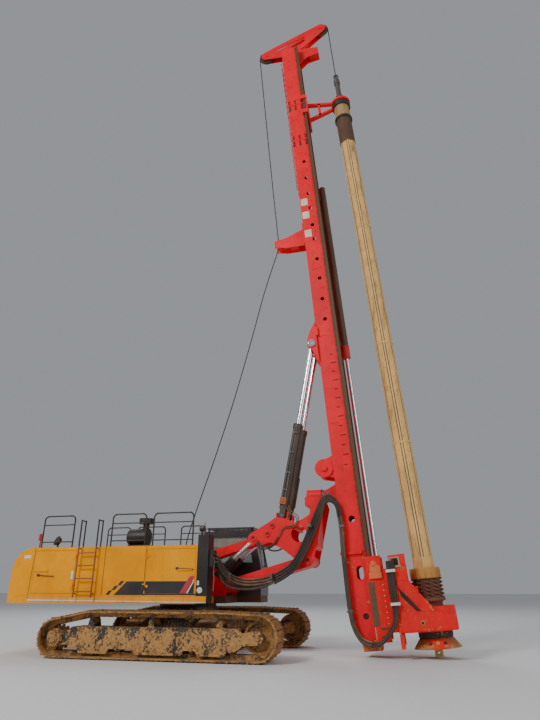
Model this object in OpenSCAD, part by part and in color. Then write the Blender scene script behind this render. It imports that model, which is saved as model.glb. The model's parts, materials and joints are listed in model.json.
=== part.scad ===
// Rotary piling rig on crawler tracks, in millimetres.
// X points forward, Y to the machine's left, Z up.
// Lengths along X are counted from the slew axis; place() then centres the whole machine.

/* [Tracks] */
// Overall length of one track, over the grouser tips
track_len = 6300; // [5900:10:6700]
// Distance between the middles of the two tracks
track_gauge = 3900; // [3860:10:4100]
// Width of a track shoe
shoe_w = 800; // [700:10:900]
// Number of shoes in one track loop
shoe_count = 54; // [44:1:62]
// Height of a shoe's three grousers
lug_h = 32; // [20:1:40]
// Thickness of a shoe plate
shoe_t = 30; // [20:1:36]
// Height of the chain links under the shoes
link_h = 105; // [90:1:115]
// Width of the chain of links
link_w = 250; // [200:5:280]
// Outer radius of the loop round the sprocket
rear_r = 465; // [450:5:480]
// Outer radius of the loop round the idler
front_r = 535; // [515:5:540]
// Height of the loop's top run above the ground
top_z = 1108; // [1090:1:1112]
// Width of a track frame
side_frame_w = 540; // [500:10:560]
// Height of a track frame's top above the ground
side_frame_top = 725; // [690:5:740]
// Thickness of a track frame's walls
side_frame_wall = 36; // [25:1:45]
// Radius of a track roller
roller_r = 105; // [90:1:110]
// Number of track rollers on each side
roller_count = 9; // [7:1:10]

/* [Upperstructure] */
// Height of the turntable's underside above the ground
deck_z = 1240; // [1230:5:1300]
// Thickness of the turntable's deck frame
deck_t = 185; // [150:5:200]
// Distance of the tail behind the slew axis
tail_x = 4840; // [4700:10:5000]
// Length of the counterweight
ballast_len = 640; // [600:10:700]
// Distance of the hood's front face ahead of the slew axis
hood_front = 770; // [740:5:800]
// Half width of the upperstructure
body_half_w = 1500; // [1450:5:1550]
// Height of the hood's roof above the ground
hood_top = 2695; // [2650:5:2750]
// Half width of the middle aisle that holds the arms and the winch
aisle_half_w = 640; // [630:5:680]
// Thickness of the hood's walls and doors
hood_wall = 30; // [20:1:40]
// Height of the handrails' tops above the hood's roof
rail_h = 870; // [800:10:950]
// Radius of the handrail tube
rail_r = 21; // [18:1:26]
// Length of the cab
cab_len = 1760; // [1700:10:1800]
// Width of the cab
cab_w = 940; // [900:10:960]
// Height of the cab's roof above the ground
cab_top = 3230; // [3150:10:3300]
// Thickness of the cab's walls
cab_wall = 50; // [40:1:60]
// Radius of the main winch's drum
winch_r = 250; // [220:5:270]
// Distance of the main winch behind the slew axis
winch_back = 800; // [780:5:850]
// Height of the main winch's axis above the ground
winch_z = 2120; // [2050:5:2200]

/* [Arms] */
// Distance of the lower arm's root pin ahead of the slew axis
arm_root_x = 1100; // [1080:5:1150]
// Height of the lower arm's root pin
arm_root_z = 1620; // [1600:5:1650]
// Distance from the lower arm's root pin to its tip pin, forward
arm_run = 2490; // [2470:5:2510]
// Rise from the lower arm's root pin to its tip pin
arm_rise = 700; // [690:5:710]
// Half width of the lower arm
arm_half_w = 400; // [360:5:420]
// Distance of the upper link's root pin behind the slew axis
link_root_back = 20; // [0:5:40]
// Height of the upper link's root pin
link_root_z = 2290; // [2270:5:2310]
// Half width of the upper link
link_half_w = 220; // [180:5:235]
// Distance of the luffing cylinders' base pin ahead of the slew axis
luff_base_x = 550; // [530:5:570]
// Height of the luffing cylinders' base pin
luff_base_z = 1620; // [1600:5:1640]
// Distance of each luffing cylinder from the machine's middle plane
luff_y = 400; // [390:2:410]
// Outer radius of a luffing cylinder's barrel
luff_barrel_r = 88; // [80:1:90]
// Radius of a luffing cylinder's rod
luff_rod_r = 50; // [40:1:60]
// Half distance between the outer faces of the triangle frame's side plates
tri_half_w = 560; // [550:2:575]
// Thickness of the triangle frame's side plates
tri_plate = 40; // [30:1:45]

/* [Mast] */
// Backward rake of the mast as it stands
rake = 4.5; // [0:0.5:6]
// Distance of the mast's pivot ahead of the slew axis
pivot_x = 4150; // [4130:5:4170]
// Height of the mast's pivot above the ground
pivot_z = 4100; // [4090:5:4120]
// Distance from the pivot to the mast's rear face
mast_back = 270; // [265:1:290]
// Depth of the mast's box
mast_d = 610; // [580:5:640]
// Width of the mast's box
mast_w = 840; // [800:5:860]
// Thickness of the mast's walls
mast_wall = 16; // [12:1:25]
// Height of the mast's top above the pivot, along the mast
mast_top = 18300; // [18200:10:18400]
// Drop of the lower mast's bolted joint below the pivot
splice_drop = 1650; // [1600:10:1700]
// Drop of the mast's foot below the pivot
foot_drop = 4020; // [3980:5:4040]
// Depth of the guide rails on the mast's front
rail_d = 80; // [70:1:90]
// Distance of the kelly bar's axis in front of the pivot
kelly_d = 2300; // [2280:5:2320]
// Outer radius of the kelly bar
kelly_r = 270; // [250:5:275]
// Distance of each mast cylinder from the machine's middle plane
cyl_y = 380; // [370:5:385]
// Outer radius of a mast cylinder's barrel
cyl_barrel_r = 135; // [110:1:140]
// Radius of a mast cylinder's rod
cyl_rod_r = 75; // [60:1:80]
// Length of a mast cylinder's barrel
cyl_barrel_len = 2700; // [2600:10:2800]
// Outer radius of the crowd cylinder's barrel
crowd_barrel_r = 110; // [95:1:115]
// Radius of the crowd cylinder's rod
crowd_rod_r = 62; // [50:1:70]
// Radius of a head sheave, over its rims
sheave_r = 320; // [290:5:330]

/* [Hidden] */
$fn = 48;

// Clearances: between turning pieces, at pins, and between seated pieces of one body
gap = 6;
pin_gap = 0.5;
seat = 0.3;

// Hoses beside the arms and the mast: radius, and the first hose's distance from the middle
hose_r = 32;
hose_y = -tri_half_w - 40 - hose_r;
mast_hose_y = -mast_w / 2 - 72 - hose_r;
clamp_rim = 10;

// The machine's front end is the lower housing's nose; place() centres the length
housing_nose_d = kelly_d + 590;
housing_drop = 4050;
front_x = pivot_x + housing_nose_d * cos(rake) + housing_drop * sin(rake);
shift_x = -(front_x - tail_x) / 2;

// Colours of the finishes
red = [0.80, 0.13, 0.12];
yellow = [0.93, 0.66, 0.08];
black = [0.10, 0.10, 0.11];
mud = [0.62, 0.50, 0.34];
chrome = [0.82, 0.83, 0.85];
grey = [0.35, 0.35, 0.36];

module place() translate([shift_x, 0, 0]) children();

// A slab with its outline in the XZ plane, from y0 to y1
module slab(y0, y1) translate([0, y1, 0]) rotate([90, 0, 0]) linear_extrude(y1 - y0) children();

// The same outline on both sides of the middle plane, from y0 to y1
module slabs(y0, y1) { slab(y0, y1) children(); slab(-y1, -y0) children(); }

// A round bar along Y through the point p = [x, z]
module bar_y(p, r, y0, y1) translate([p[0], y0, p[1]]) rotate([-90, 0, 0]) cylinder(r = r, h = y1 - y0);

module bars_y(p, r, y0, y1) { bar_y(p, r, y0, y1); bar_y(p, r, -y1, -y0); }

// A link outline with round ends, between two points of a plane, its edges tangent to both
module link2d(p, q, rp, rq) {
  v = (q - p) / norm(q - p);
  lean = (rp - rq) / norm(q - p);
  up = [-v[1], v[0]] * sqrt(1 - lean * lean) + v * lean;
  down = [v[1], -v[0]] * sqrt(1 - lean * lean) + v * lean;
  translate(p) circle(rp);
  translate(q) circle(rq);
  polygon([p + up * rp, p + down * rp, q + down * rq, q + up * rq]);
}

// The same outline as points, its round ends in n flats
function toward(angle) = [cos(angle), sin(angle)];
function link_points(p, q, rp, rq, n = 12) =
  let (a = atan2(q[1] - p[1], q[0] - p[0]), b = acos((rp - rq) / norm(q - p)))
  concat([for (k = [0 : n]) p + rp * toward(a + b + (360 - 2 * b) * k / n)],
         [for (k = [0 : n]) q + rq * toward(a - b + 2 * b * k / n)]);

// Children drawn on the upright mast, with the pivot as origin, leant back with the mast
module on_mast() translate([pivot_x, 0, pivot_z]) rotate([0, -rake, 0]) children();

// A point of the mast's own frame, in the machine's XZ plane
function from_mast(d, u) = [
  pivot_x + d * cos(rake) - u * sin(rake),
  pivot_z + d * sin(rake) + u * cos(rake)
];

// Track loop
// Wheels that the loop runs round, counter-clockwise: x, z, radius to the plates' outer faces
plate_line = lug_h;
carrier_xs = [-1770, -120, 1660];
carrier_bend = 300;
loop_wheels = [
  [-track_len / 2 + rear_r, rear_r, rear_r - plate_line],
  [track_len / 2 - front_r, front_r, front_r - plate_line],
  [carrier_xs[2], top_z - carrier_bend, carrier_bend - plate_line],
  [carrier_xs[0], top_z - carrier_bend, carrier_bend - plate_line]
];
function wheel_at(i) = loop_wheels[(i + len(loop_wheels)) % len(loop_wheels)];
function run_normal(a, b) =
  atan2(b[1] - a[1], b[0] - a[0]) - 90
  + asin((a[2] - b[2]) / norm([b[0] - a[0], b[1] - a[1]]));
function wrap(a) = a < 0 ? a + 360 : a;
function on_wheel(w, a, inset) = [w[0] + (w[2] - inset) * cos(a), w[1] + (w[2] - inset) * sin(a)];

// Stretches of the loop, two for each wheel: kind, length, wheel, start angle, turn, line's end
loop_parts = [
  for (i = [0 : len(loop_wheels) - 1])
    let (w = wheel_at(i), a = run_normal(wheel_at(i - 1), w), b = run_normal(w, wheel_at(i + 1)),
         turn = wrap(b - a), p = on_wheel(w, b, 0), q = on_wheel(wheel_at(i + 1), b, 0))
    each [["arc", w[2] * turn * PI / 180, w, a, turn, p], ["line", norm(q - p), w, b, 0, q]]
];
function sum_len(k) = k < 0 ? 0 : loop_parts[k][1] + sum_len(k - 1);
loop_len = sum_len(len(loop_parts) - 1);
shoe_pitch = loop_len / shoe_count;

// Place on the loop at the distance s: x, z, angle of the outward normal
function loop_at(s, k = 0) =
  let (part = loop_parts[k], w = part[2])
  s > part[1] && k < len(loop_parts) - 1 ? loop_at(s - part[1], k + 1)
  : part[0] == "arc" ? let (a = part[3] + part[4] * s / part[1]) concat(on_wheel(w, a, 0), [a])
  : let (p = on_wheel(w, part[3], 0)) concat(p + (part[5] - p) * s / part[1], [part[3]]);

// A shoe's outline with three grousers: along the chain as a share of the pitch, height
shoe_outline = [
  [-0.47, -1], [-0.47, 1], [-0.38, 0], [-0.07, 0], [0, 1],
  [0.07, 0], [0.38, 0], [0.47, 1], [0.47, -1]
];
function shoe_point(k, point) =
  let (at = loop_at((k + 0.5) * shoe_pitch), a = at[2],
       along = point[0] * shoe_pitch, out = point[1] > 0 ? lug_h : point[1] * shoe_t * 0.6)
  [at[0] - along * sin(a) + out * cos(a), at[1] + along * cos(a) + out * sin(a)];
// The loop's outline further in, its bends drawn outside their circles so that a wheel fits in
bend_steps = 9;
function loop_inset(inset) = [
  for (part = loop_parts) if (part[0] == "arc")
    let (w = part[2], step = part[4] / bend_steps, out = (w[2] - inset) * (1 - 1 / cos(step / 2)))
    for (j = [-0.5 : 1 : bend_steps + 0.5])
      j < 0 ? on_wheel(w, part[3], inset)
      : j > bend_steps ? on_wheel(w, part[3] + part[4], inset)
      : on_wheel(w, part[3] + step * j, inset + out)
];

module track(side) {
  color(mud) translate([0, side * track_gauge / 2, 0]) {
    slab(-shoe_w / 2, shoe_w / 2) difference() {
      polygon([for (k = [0 : shoe_count - 1]) for (point = shoe_outline) shoe_point(k, point)]);
      polygon(loop_inset(shoe_t));
    }
    slab(-link_w / 2, link_w / 2) difference() {
      polygon(loop_inset(shoe_t - 1));
      polygon(loop_inset(shoe_t + link_h));
    }
  }
}

module track_right() track(-1);
module track_left() track(1);

// Undercarriage
sprocket_x = loop_wheels[0][0];
idler_x = loop_wheels[1][0];
wheel_inset = lug_h + shoe_t + link_h;
chain_floor = wheel_inset;
side_frame_bottom = chain_floor + 70;
frame_rear = sprocket_x + 300;
frame_front = idler_x - front_r + wheel_inset - 15;
axle_r = 60;
roller_z = chain_floor + roller_r + seat;
roller_half_w = link_w / 2 + 15;

module track_frame(side) {
  color(black) translate([0, side * track_gauge / 2, 0]) {
    difference() {
      union() {
        slab(-side_frame_w / 2, side_frame_w / 2) polygon([
          [frame_rear, 330], [frame_rear, 640], [frame_rear + 160, side_frame_top],
          [frame_front - 120, side_frame_top], [frame_front, 660], [frame_front, 330],
          [frame_front - 160, side_frame_bottom], [frame_rear + 160, side_frame_bottom]
        ]);
        rock_guards();
      }
      slab(-side_frame_w / 2 + side_frame_wall, side_frame_w / 2 - side_frame_wall)
        translate([-track_len, 0]) square([2 * track_len, side_frame_top - side_frame_wall]);
      for (i = [0 : roller_count - 1])
        bar_y([roller_x(i), roller_z], axle_r + seat, -side_frame_w, side_frame_w);
    }
    side_plates() {
      polygon(link_points([sprocket_x, rear_r], [frame_rear + 120, 470], 170, 150));
      polygon(link_points([idler_x, front_r], [frame_front - 140, 480], 150, 130));
    }
    carrier_seats();
  }
}

function roller_x(i) = -1950 + 3900 * i / (roller_count - 1);

// Fork plates that hold the sprocket and the idler, bored for their hubs
module side_plates() {
  difference() {
    slabs(side_frame_w / 2 - side_frame_wall, side_frame_w / 2) { children(0); children(1); }
    bar_y([sprocket_x, rear_r], 130 + seat, -side_frame_w, side_frame_w);
    bar_y([idler_x, front_r], axle_r + seat, -side_frame_w, side_frame_w);
  }
}

// Guards along the frame's lower edge, with the gaps that show the rollers: start, end
guard_spans = [[-2050, -1180], [-540, 800], [1080, 1880]];
module rock_guards() {
  for (span = guard_spans)
    slabs(side_frame_w / 2 - side_frame_wall, side_frame_w / 2)
      polygon([
        [span[0], side_frame_bottom + 1], [span[0] + 60, chain_floor - 40],
        [span[1] - 60, chain_floor - 40], [span[1], side_frame_bottom + 1]
      ]);
}

carrier_r = 85;
carrier_z = top_z - wheel_inset - carrier_r - seat;
module carrier_seats() {
  for (x = carrier_xs)
    translate([x, 0, 0]) difference() {
      slabs(roller_half_w + seat, roller_half_w + 45)
        link2d([0, side_frame_top - 20], [0, carrier_z], 90, 60);
      bar_y([0, carrier_z], 30 + seat, -side_frame_w, side_frame_w);
    }
}

module track_frames() for (side = [-1, 1]) track_frame(side);

tooth_count = 13;
module sprockets() color(mud) for (side = [-1, 1]) translate([0, side * track_gauge / 2, 0]) {
  wheel_r = rear_r - wheel_inset;
  bar_y([sprocket_x, rear_r], wheel_r - 60, -60, 60);
  for (i = [0 : tooth_count - 1])
    translate([sprocket_x, 0, rear_r]) rotate([0, i * 360 / tooth_count, 0])
      slab(-45, 45) polygon([
        [wheel_r - 90, -42], [wheel_r - seat, -16], [wheel_r - seat, 16], [wheel_r - 90, 42]
      ]);
  bar_y([sprocket_x, rear_r], 130, -side_frame_w / 2 - 20, side_frame_w / 2 + 20);
  hub(side);
}

// Stepped cover of the final drive, on the outer face of the frame
module hub(side) {
  hub_steps = [[215, 45], [180, 90], [120, 125]];
  for (step = hub_steps)
    translate([sprocket_x, side * (side_frame_w / 2 + seat), rear_r])
      rotate([-side * 90, 0, 0]) cylinder(r = step[0], h = step[1]);
}

module idlers() color(mud) for (side = [-1, 1]) translate([0, side * track_gauge / 2, 0]) {
  wheel_r = front_r - wheel_inset - seat;
  difference() {
    bar_y([idler_x, front_r], wheel_r, -95, 95);
    bars_y([idler_x, front_r], wheel_r - 60, 40, 100);
  }
  bar_y([idler_x, front_r], 130, -150, 150);
  bar_y([idler_x, front_r], axle_r, -side_frame_w / 2 - 15, side_frame_w / 2 + 15);
}

module rollers() color(mud) for (side = [-1, 1]) translate([0, side * track_gauge / 2, 0]) {
  for (i = [0 : roller_count - 1]) {
    bar_y([roller_x(i), roller_z], roller_r, -roller_half_w, roller_half_w);
    bar_y([roller_x(i), roller_z], axle_r, -side_frame_w / 2 - 12, side_frame_w / 2 + 12);
  }
  for (x = carrier_xs) {
    bar_y([x, carrier_z], carrier_r, -roller_half_w, roller_half_w);
    bar_y([x, carrier_z], 30, -roller_half_w - 50, roller_half_w + 50);
  }
}

// Car body: a round centre box on two cross beams that meet the track frames
ring_h = 110;
ring_r = 800;
beam_xs = [-1000, 1000];
beam_half_w = 230;
module car_body() color(black) {
  intersection() {
    translate([0, 0, 470]) difference() {
      cylinder(r = 900, h = deck_z - ring_h - 470);
      translate([0, 0, -30]) cylinder(r = 480, h = deck_z);
    }
    translate([beam_xs[0] + beam_half_w + seat, -1000, 0])
      cube([beam_xs[1] - beam_xs[0] - 2 * (beam_half_w + seat), 2000, deck_z]);
  }
  for (x = beam_xs) cross_beam(x);
  for (side = [-1, 1]) tow_eye(side);
}

// Towing eye on the car body's middle, ahead and behind
tow_bore_r = 40;
tow_x = 1330;
tow_z = 560;
tow_half_w = 30;
module tow_eye(side) slab(-tow_half_w, tow_half_w) difference() {
  link2d([side * (beam_xs[1] + 150), tow_z], [side * tow_x, tow_z], 110, 90);
  translate([side * tow_x, tow_z]) circle(tow_bore_r);
}

module cross_beam(x) {
  beam_end = track_gauge / 2 - side_frame_w / 2 - seat;
  translate([x, 0, 0]) rotate([90, 0, 90]) translate([0, 0, -beam_half_w]) linear_extrude(2 * beam_half_w)
    polygon([
      [-beam_end, 340], [beam_end, 340], [beam_end, side_frame_top - 40],
      [900, 900], [-900, 900], [-beam_end, side_frame_top - 40]
    ]);
}

module slew_ring() color(grey) translate([0, 0, deck_z - ring_h]) difference() {
  cylinder(r = ring_r, h = ring_h - seat);
  translate([0, 0, -1]) cylinder(r = ring_r - 160, h = ring_h + 2);
}

// Upperstructure
hood_rear = -tail_x + ballast_len;
deck_top = deck_z + deck_t;
aisle_rear = -winch_back - 520;
cab_x = 210;
cab_y = aisle_half_w + 10;
nose_x = cab_x + cab_len;
arm_root = [arm_root_x, arm_root_z];
arm_tip = arm_root + [arm_run, arm_rise];
link_root = [-link_root_back, link_root_z];
link_tip = link_root + [arm_run, arm_rise];
luff_base = [luff_base_x, luff_base_z];
winch_axis = [-winch_back, winch_z];
root_plate = 50;
root_half_w = luff_y + 110;

module platform() color([0.45, 0.30, 0.16]) {
  translate([hood_rear + seat, -body_half_w, deck_z])
    cube([hood_front - hood_rear, 2 * body_half_w, deck_t]);
  translate([hood_front, -root_half_w - root_plate, deck_z])
    cube([arm_root_x + 190 - hood_front, 2 * root_half_w + 2 * root_plate, deck_t]);
  translate([hood_front, cab_y, deck_z]) cube([nose_x - hood_front, body_half_w - cab_y, deck_t]);
  winch_cradle();
}

// The plates that carry the arms' root pins and the luffing cylinders' base pin
module arm_brackets() color([0.45, 0.30, 0.16]) {
  difference() {
    slabs(root_half_w, root_half_w + root_plate) polygon([
      [-560, deck_top + seat], [arm_root_x + 180, deck_top + seat], [arm_root_x + 180, arm_root_z + 60],
      [arm_root_x + 60, arm_root_z + 180], [link_root[0] + 210, link_root_z + 140],
      [link_root[0] + 60, link_root_z + 210], [link_root[0] - 160, link_root_z + 180]
    ]);
    for (p = [arm_root, link_root, luff_base]) bar_y(p, 60 + pin_gap / 2, -900, 900);
  }
  for (p = [arm_root, link_root, luff_base])
    bar_y(p, 60, -root_half_w - root_plate - 15, root_half_w + root_plate + 15);
  // Inner plates beside the upper link's root
  difference() {
    slabs(link_half_w + gap, link_half_w + gap + 40) polygon([
      [-560, deck_top + seat], [300, deck_top + seat], [link_root[0] + 130, link_root_z + 40],
      [link_root[0] + 50, link_root_z + 120], [link_root[0] - 120, link_root_z + 120]
    ]);
    bar_y(link_root, 60 + pin_gap / 2, -900, 900);
  }
}

// Two cheeks that carry the main winch's shaft
module winch_cradle() difference() {
  slabs(330, 370) polygon([
    [winch_axis[0] - 420, deck_top - 1], [winch_axis[0] + 420, deck_top - 1],
    [winch_axis[0] + 130, winch_z + 60], [winch_axis[0] + 60, winch_z + 130],
    [winch_axis[0] - 60, winch_z + 130], [winch_axis[0] - 130, winch_z + 60]
  ]);
  bar_y(winch_axis, 70 + pin_gap, -900, 900);
}

module winch_drum() color(grey) {
  bar_y(winch_axis, winch_r, -280, 280);
  bars_y(winch_axis, winch_r + 90, 280, 310);
  bar_y(winch_axis, 70, -385, 385);
}

// Hood doors: rear edge, front edge, bottom, top, side
door_bottom = deck_top + 60;
door_top = hood_top - 90;
right_rear_door = [hood_rear + 60, hood_rear + 1360];
right_front_door = [-680, hood_front - 40];
left_door = [hood_rear + 500, hood_rear + 1900];
door_gap = 6;
hinge_out = 15.5;
hinge_r = 14;
hinge_pin_r = 8;
knuckle_len = 60;

// Hinges of a door: the edge of its opening, the side (1 or -1), the face's distance from the
// middle plane, the way from the door to its frame along X (1 or -1), and two heights
module hinges(edge, side, face, way, heights) for (z = heights)
  translate([edge - way * door_gap / 2, side * (face + hinge_out), z]) children();

// A leaf from the hinge's axis back to the face
module hinge_leaf(side, way, h)
  translate([way > 0 ? 0 : -80, side > 0 ? -hinge_out - 0.7 : 0, 0])
    cube([80, hinge_out + 0.7, h]);

// The door's share: a knuckle with its leaf
module door_knuckle(side, way) difference() {
  union() {
    cylinder(r = hinge_r, h = knuckle_len);
    hinge_leaf(side, -way, knuckle_len);
  }
  translate([0, 0, -1]) cylinder(r = hinge_pin_r + pin_gap, h = knuckle_len + 2);
}

// The frame's share: a lug above and below the knuckle, and the pin
module frame_knuckle(side, way) {
  for (z = [-36, knuckle_len + 6]) translate([0, 0, z]) {
    cylinder(r = hinge_r, h = 30);
    hinge_leaf(side, way, 30);
  }
  translate([0, 0, -30]) cylinder(r = hinge_pin_r, h = knuckle_len + 60);
}
hood_hinge_z = [door_bottom + 150, door_top - 210];

module engine_hood() color(yellow) {
  difference() {
    hood_outer();
    hood_inner();
    door_hole(-1, right_rear_door);
    door_hole(-1, right_front_door);
    door_hole(1, left_door);
  }
  hinges(right_rear_door[1], -1, body_half_w, 1, hood_hinge_z) frame_knuckle(-1, 1);
  hinges(right_front_door[0], -1, body_half_w, -1, hood_hinge_z) frame_knuckle(-1, -1);
  hinges(left_door[1], 1, body_half_w, 1, hood_hinge_z) frame_knuckle(1, 1);
}

// The hood in plan: a full-width rear part and a block on each side of the aisle
module hood_plan(inset) {
  x0 = hood_rear + 2 * seat + inset;
  polygon([
    [x0, -body_half_w + inset], [hood_front - inset, -body_half_w + inset],
    [hood_front - inset, -aisle_half_w - inset], [aisle_rear - inset, -aisle_half_w - inset],
    [aisle_rear - inset, aisle_half_w + inset], [cab_x - 60 - inset, aisle_half_w + inset],
    [cab_x - 60 - inset, body_half_w - inset], [x0, body_half_w - inset]
  ]);
}

module hood_outer() translate([0, 0, deck_top + seat])
  linear_extrude(hood_top - deck_top - seat) hood_plan(0);

module hood_inner() translate([0, 0, deck_top - 10])
  linear_extrude(hood_top - deck_top - hood_wall + 10) hood_plan(hood_wall);

module door_hole(side, span) {
  translate([span[0], side > 0 ? body_half_w - 200 : -body_half_w - 200, door_bottom])
    cube([span[1] - span[0], 400, door_top - door_bottom]);
}

// A door in its opening, with a latch bar: side, span, the way to its hinges, the latch's place
module hood_door(side, span, way, latch_x) color(yellow) {
  hinges(span[way > 0 ? 1 : 0], side, body_half_w, way, hood_hinge_z) door_knuckle(side, way);
  y0 = side * (body_half_w - hood_wall);
  translate([span[0] + door_gap, min(y0, side * body_half_w), door_bottom + door_gap])
    cube([span[1] - span[0] - 2 * door_gap, hood_wall, door_top - door_bottom - 2 * door_gap]);
  translate([latch_x, side > 0 ? body_half_w - 1 : -body_half_w - 24, 2050]) cube([420, 25, 45]);
}

module hood_door_right_rear() hood_door(-1, right_rear_door, 1, right_rear_door[0] + 60);
module hood_door_right_front() hood_door(-1, right_front_door, -1, right_front_door[1] - 500);
module hood_door_left() hood_door(1, left_door, 1, left_door[0] + 60);

// Counterweight: one casting across the tail, its top rounded off behind
module counterweight() color(yellow) slab(-body_half_w, body_half_w) difference() {
  translate([-tail_x, deck_z]) square([ballast_len - seat, hood_top - deck_z]);
  polygon([
    [-tail_x - 1, hood_top - 600], [-tail_x + 60, hood_top - 330], [-tail_x + 240, hood_top - 110],
    [-tail_x + 520, hood_top - 1], [-tail_x + ballast_len + 5, hood_top + 20], [-tail_x - 1, hood_top + 20]
  ]);
}

module engine_block() color(grey)
  translate([hood_rear + 700, -550, deck_top + seat]) cube([1750, 1100, 950]);

// Handrail frames on the roof: start, end, side, distance in from the body's side, height share
rail_frames = [
  [-4070, -3080, -1, 100, 1], [-1870, -840, -1, 100, 1], [-600, 570, -1, 100, 1],
  [-3530, -2700, 1, 150, 0.92], [-2450, -1460, 1, 150, 0.92], [-900, -60, 1, 150, 0.92]
];
module handrails() color(black) for (f = rail_frames) {
  top = rail_h * f[4];
  y = f[2] * (body_half_w - f[3]);
  for (x = [f[0], f[1]]) translate([x, y, hood_top + seat]) cylinder(r = rail_r, h = top);
  for (x = [f[0], f[1]]) translate([x, y, hood_top + seat]) cylinder(r = 50, h = 12);
  for (z = [top, top * 0.52])
    translate([f[0] - rail_r, y, hood_top + z]) rotate([0, 90, 0])
      cylinder(r = rail_r - 2, h = f[1] - f[0] + 2 * rail_r);
}

// Ladder on the right side, its rails looped over the roof's edge
ladder_x = [-2720, -2180];
ladder_y = -body_half_w - 120;
module ladder() color(yellow) {
  for (x = ladder_x) {
    translate([x, ladder_y, deck_top - 40]) cylinder(r = rail_r, h = hood_top - deck_top + 765);
    translate([x, ladder_y, hood_top + 700]) rotate([-90, 0, 0]) cylinder(r = rail_r - 3, h = 220);
    translate([x, ladder_y + 220, hood_top + seat]) cylinder(r = rail_r, h = 725);
    for (z = [deck_top + 60, hood_top - 45])
      translate([x, ladder_y, z]) rotate([-90, 0, 0]) cylinder(r = 14, h = 120 - seat);
  }
  for (i = [0 : 3])
    translate([ladder_x[0], ladder_y, deck_top + 110 + i * 330]) rotate([0, 90, 0])
      cylinder(r = 16, h = ladder_x[1] - ladder_x[0]);
}

// Air cleaner on the roof: a drum with a cap and a cast elbow to its rear
module air_cleaner() color(black) translate([-1190, 600 - body_half_w, hood_top + seat]) {
  translate([-330, -180, 0]) cube([660, 360, 60]);
  translate([-340, 0, 280]) rotate([0, 90, 0]) cylinder(r = 230, h = 560);
  translate([-380, 0, 280]) rotate([0, 90, 0]) cylinder(r = 190, h = 60);
  translate([120, 0, 400]) cylinder(r = 90, h = 260);
  translate([120, 0, 640]) cylinder(r = 210, h = 150);
}

// Dark box at the hood's right front corner, with a lamp post and the hose bulkhead
bulkhead_x = hood_front + 420;
module front_box() color(black) {
  translate([hood_front + seat, -body_half_w, deck_z + 20]) cube([300, 420, 1700]);
  translate([hood_front + 60, -body_half_w + 120, deck_z + 1715]) cylinder(r = 28, h = 130);
  translate([hood_front + 60, -body_half_w + 200, deck_z + 1880]) rotate([0, 90, 0]) translate([0, -80, -60])
    cylinder(r = 75, h = 120);
  translate([bulkhead_x - 120, -body_half_w + 60, deck_z + 900]) cube([120, 300, 420]);
}

// Cab
cab_z = deck_top + seat;
cab_front_x = cab_x + cab_len;
cab_side_y = cab_y + cab_w;
// Cab's outline in the XZ plane, its front leaning back from the knee up
cab_outline = [
  [cab_x, cab_z], [cab_front_x, cab_z], [cab_front_x, 2150],
  [cab_front_x - 230, cab_top], [cab_x, cab_top]
];
cab_door_x = [cab_x + 560, cab_x + 1360];
cab_door_top = cab_top - 120;
cab_door_bottom = cab_z + 60;
cab_hinge_z = [cab_door_bottom + 200, cab_door_top - 300];

module cab_windows() {
  // Inner side window, rear window and door opening
  slab(cab_y - 50, cab_y + cab_wall + 50) polygon([
    [cab_x + 150, 2330], [cab_front_x - 260, 2330], [cab_front_x - 400, 3060], [cab_x + 150, 3060]
  ]);
  translate([cab_x - 50, cab_y + 150, 2400]) cube([200, cab_w - 300, 620]);
  translate([cab_x + 100, cab_side_y - cab_wall - 50, 2330]) cube([400, 200, 730]);
  translate([cab_door_x[0], cab_side_y - cab_wall - 50, cab_door_bottom])
    cube([cab_door_x[1] - cab_door_x[0], 200, cab_door_top - cab_door_bottom]);
  front_window_hole();
}

// The windscreen's opening, cut square to the leaning front
module front_window_hole() translate([cab_front_x, cab_y, 2150])
  rotate([0, -atan2(230, cab_top - 2150), 0]) translate([-200, 90, 70])
    cube([400, cab_w - 180, 880]);

module cab_shell() color(black) {
  difference() {
    slab(cab_y, cab_side_y) polygon(cab_outline);
    slab(cab_y + cab_wall, cab_side_y - cab_wall) polygon([
      [cab_x + cab_wall, cab_z + cab_wall], [cab_front_x - cab_wall, cab_z + cab_wall],
      [cab_front_x - cab_wall, 2150], [cab_front_x - 230 - cab_wall, cab_top - cab_wall],
      [cab_x + cab_wall, cab_top - cab_wall]
    ]);
    cab_windows();
  }
  roof_guard();
  hinges(cab_door_x[0], 1, cab_side_y, -1, cab_hinge_z) frame_knuckle(1, -1);
}

// Guard over the roof, bars on short posts
module roof_guard() {
  for (x = [cab_x + 80, cab_front_x - 420]) for (y = [cab_y + 60, cab_side_y - 60])
    translate([x - 25, y - 25, cab_top - 1]) cube([50, 50, 70]);
  for (y = [cab_y + 35, cab_side_y - 85])
    translate([cab_x + 20, y, cab_top + 68]) cube([cab_len - 260, 50, 50]);
  for (i = [0 : 8])
    translate([cab_x + 20 + i * (cab_len - 310) / 8, cab_y + 35, cab_top + 68]) cube([50, cab_w - 70, 40]);
}

glass_t = 8;
module cab_glass() color([0.6, 0.7, 0.75]) {
  translate([0, cab_y + 20, 0]) slab(0, glass_t) polygon([
    [cab_x + 150 + seat, 2330 + seat], [cab_front_x - 260 - 2 * seat, 2330 + seat],
    [cab_front_x - 400 - 2 * seat, 3060 - seat], [cab_x + 150 + seat, 3060 - seat]
  ]);
  translate([cab_x + 20, cab_y + 150 + seat, 2400 + seat]) cube([glass_t, cab_w - 300 - 2 * seat, 620 - 2 * seat]);
  translate([cab_x + 100 + seat, cab_side_y - 30, 2330 + seat]) cube([400 - 2 * seat, glass_t, 730 - 2 * seat]);
  translate([cab_front_x, cab_y, 2150]) rotate([0, -atan2(230, cab_top - 2150), 0])
    translate([-28, 90 + seat, 70 + seat]) cube([glass_t, cab_w - 180 - 2 * seat, 880 - 2 * seat]);
}

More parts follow.
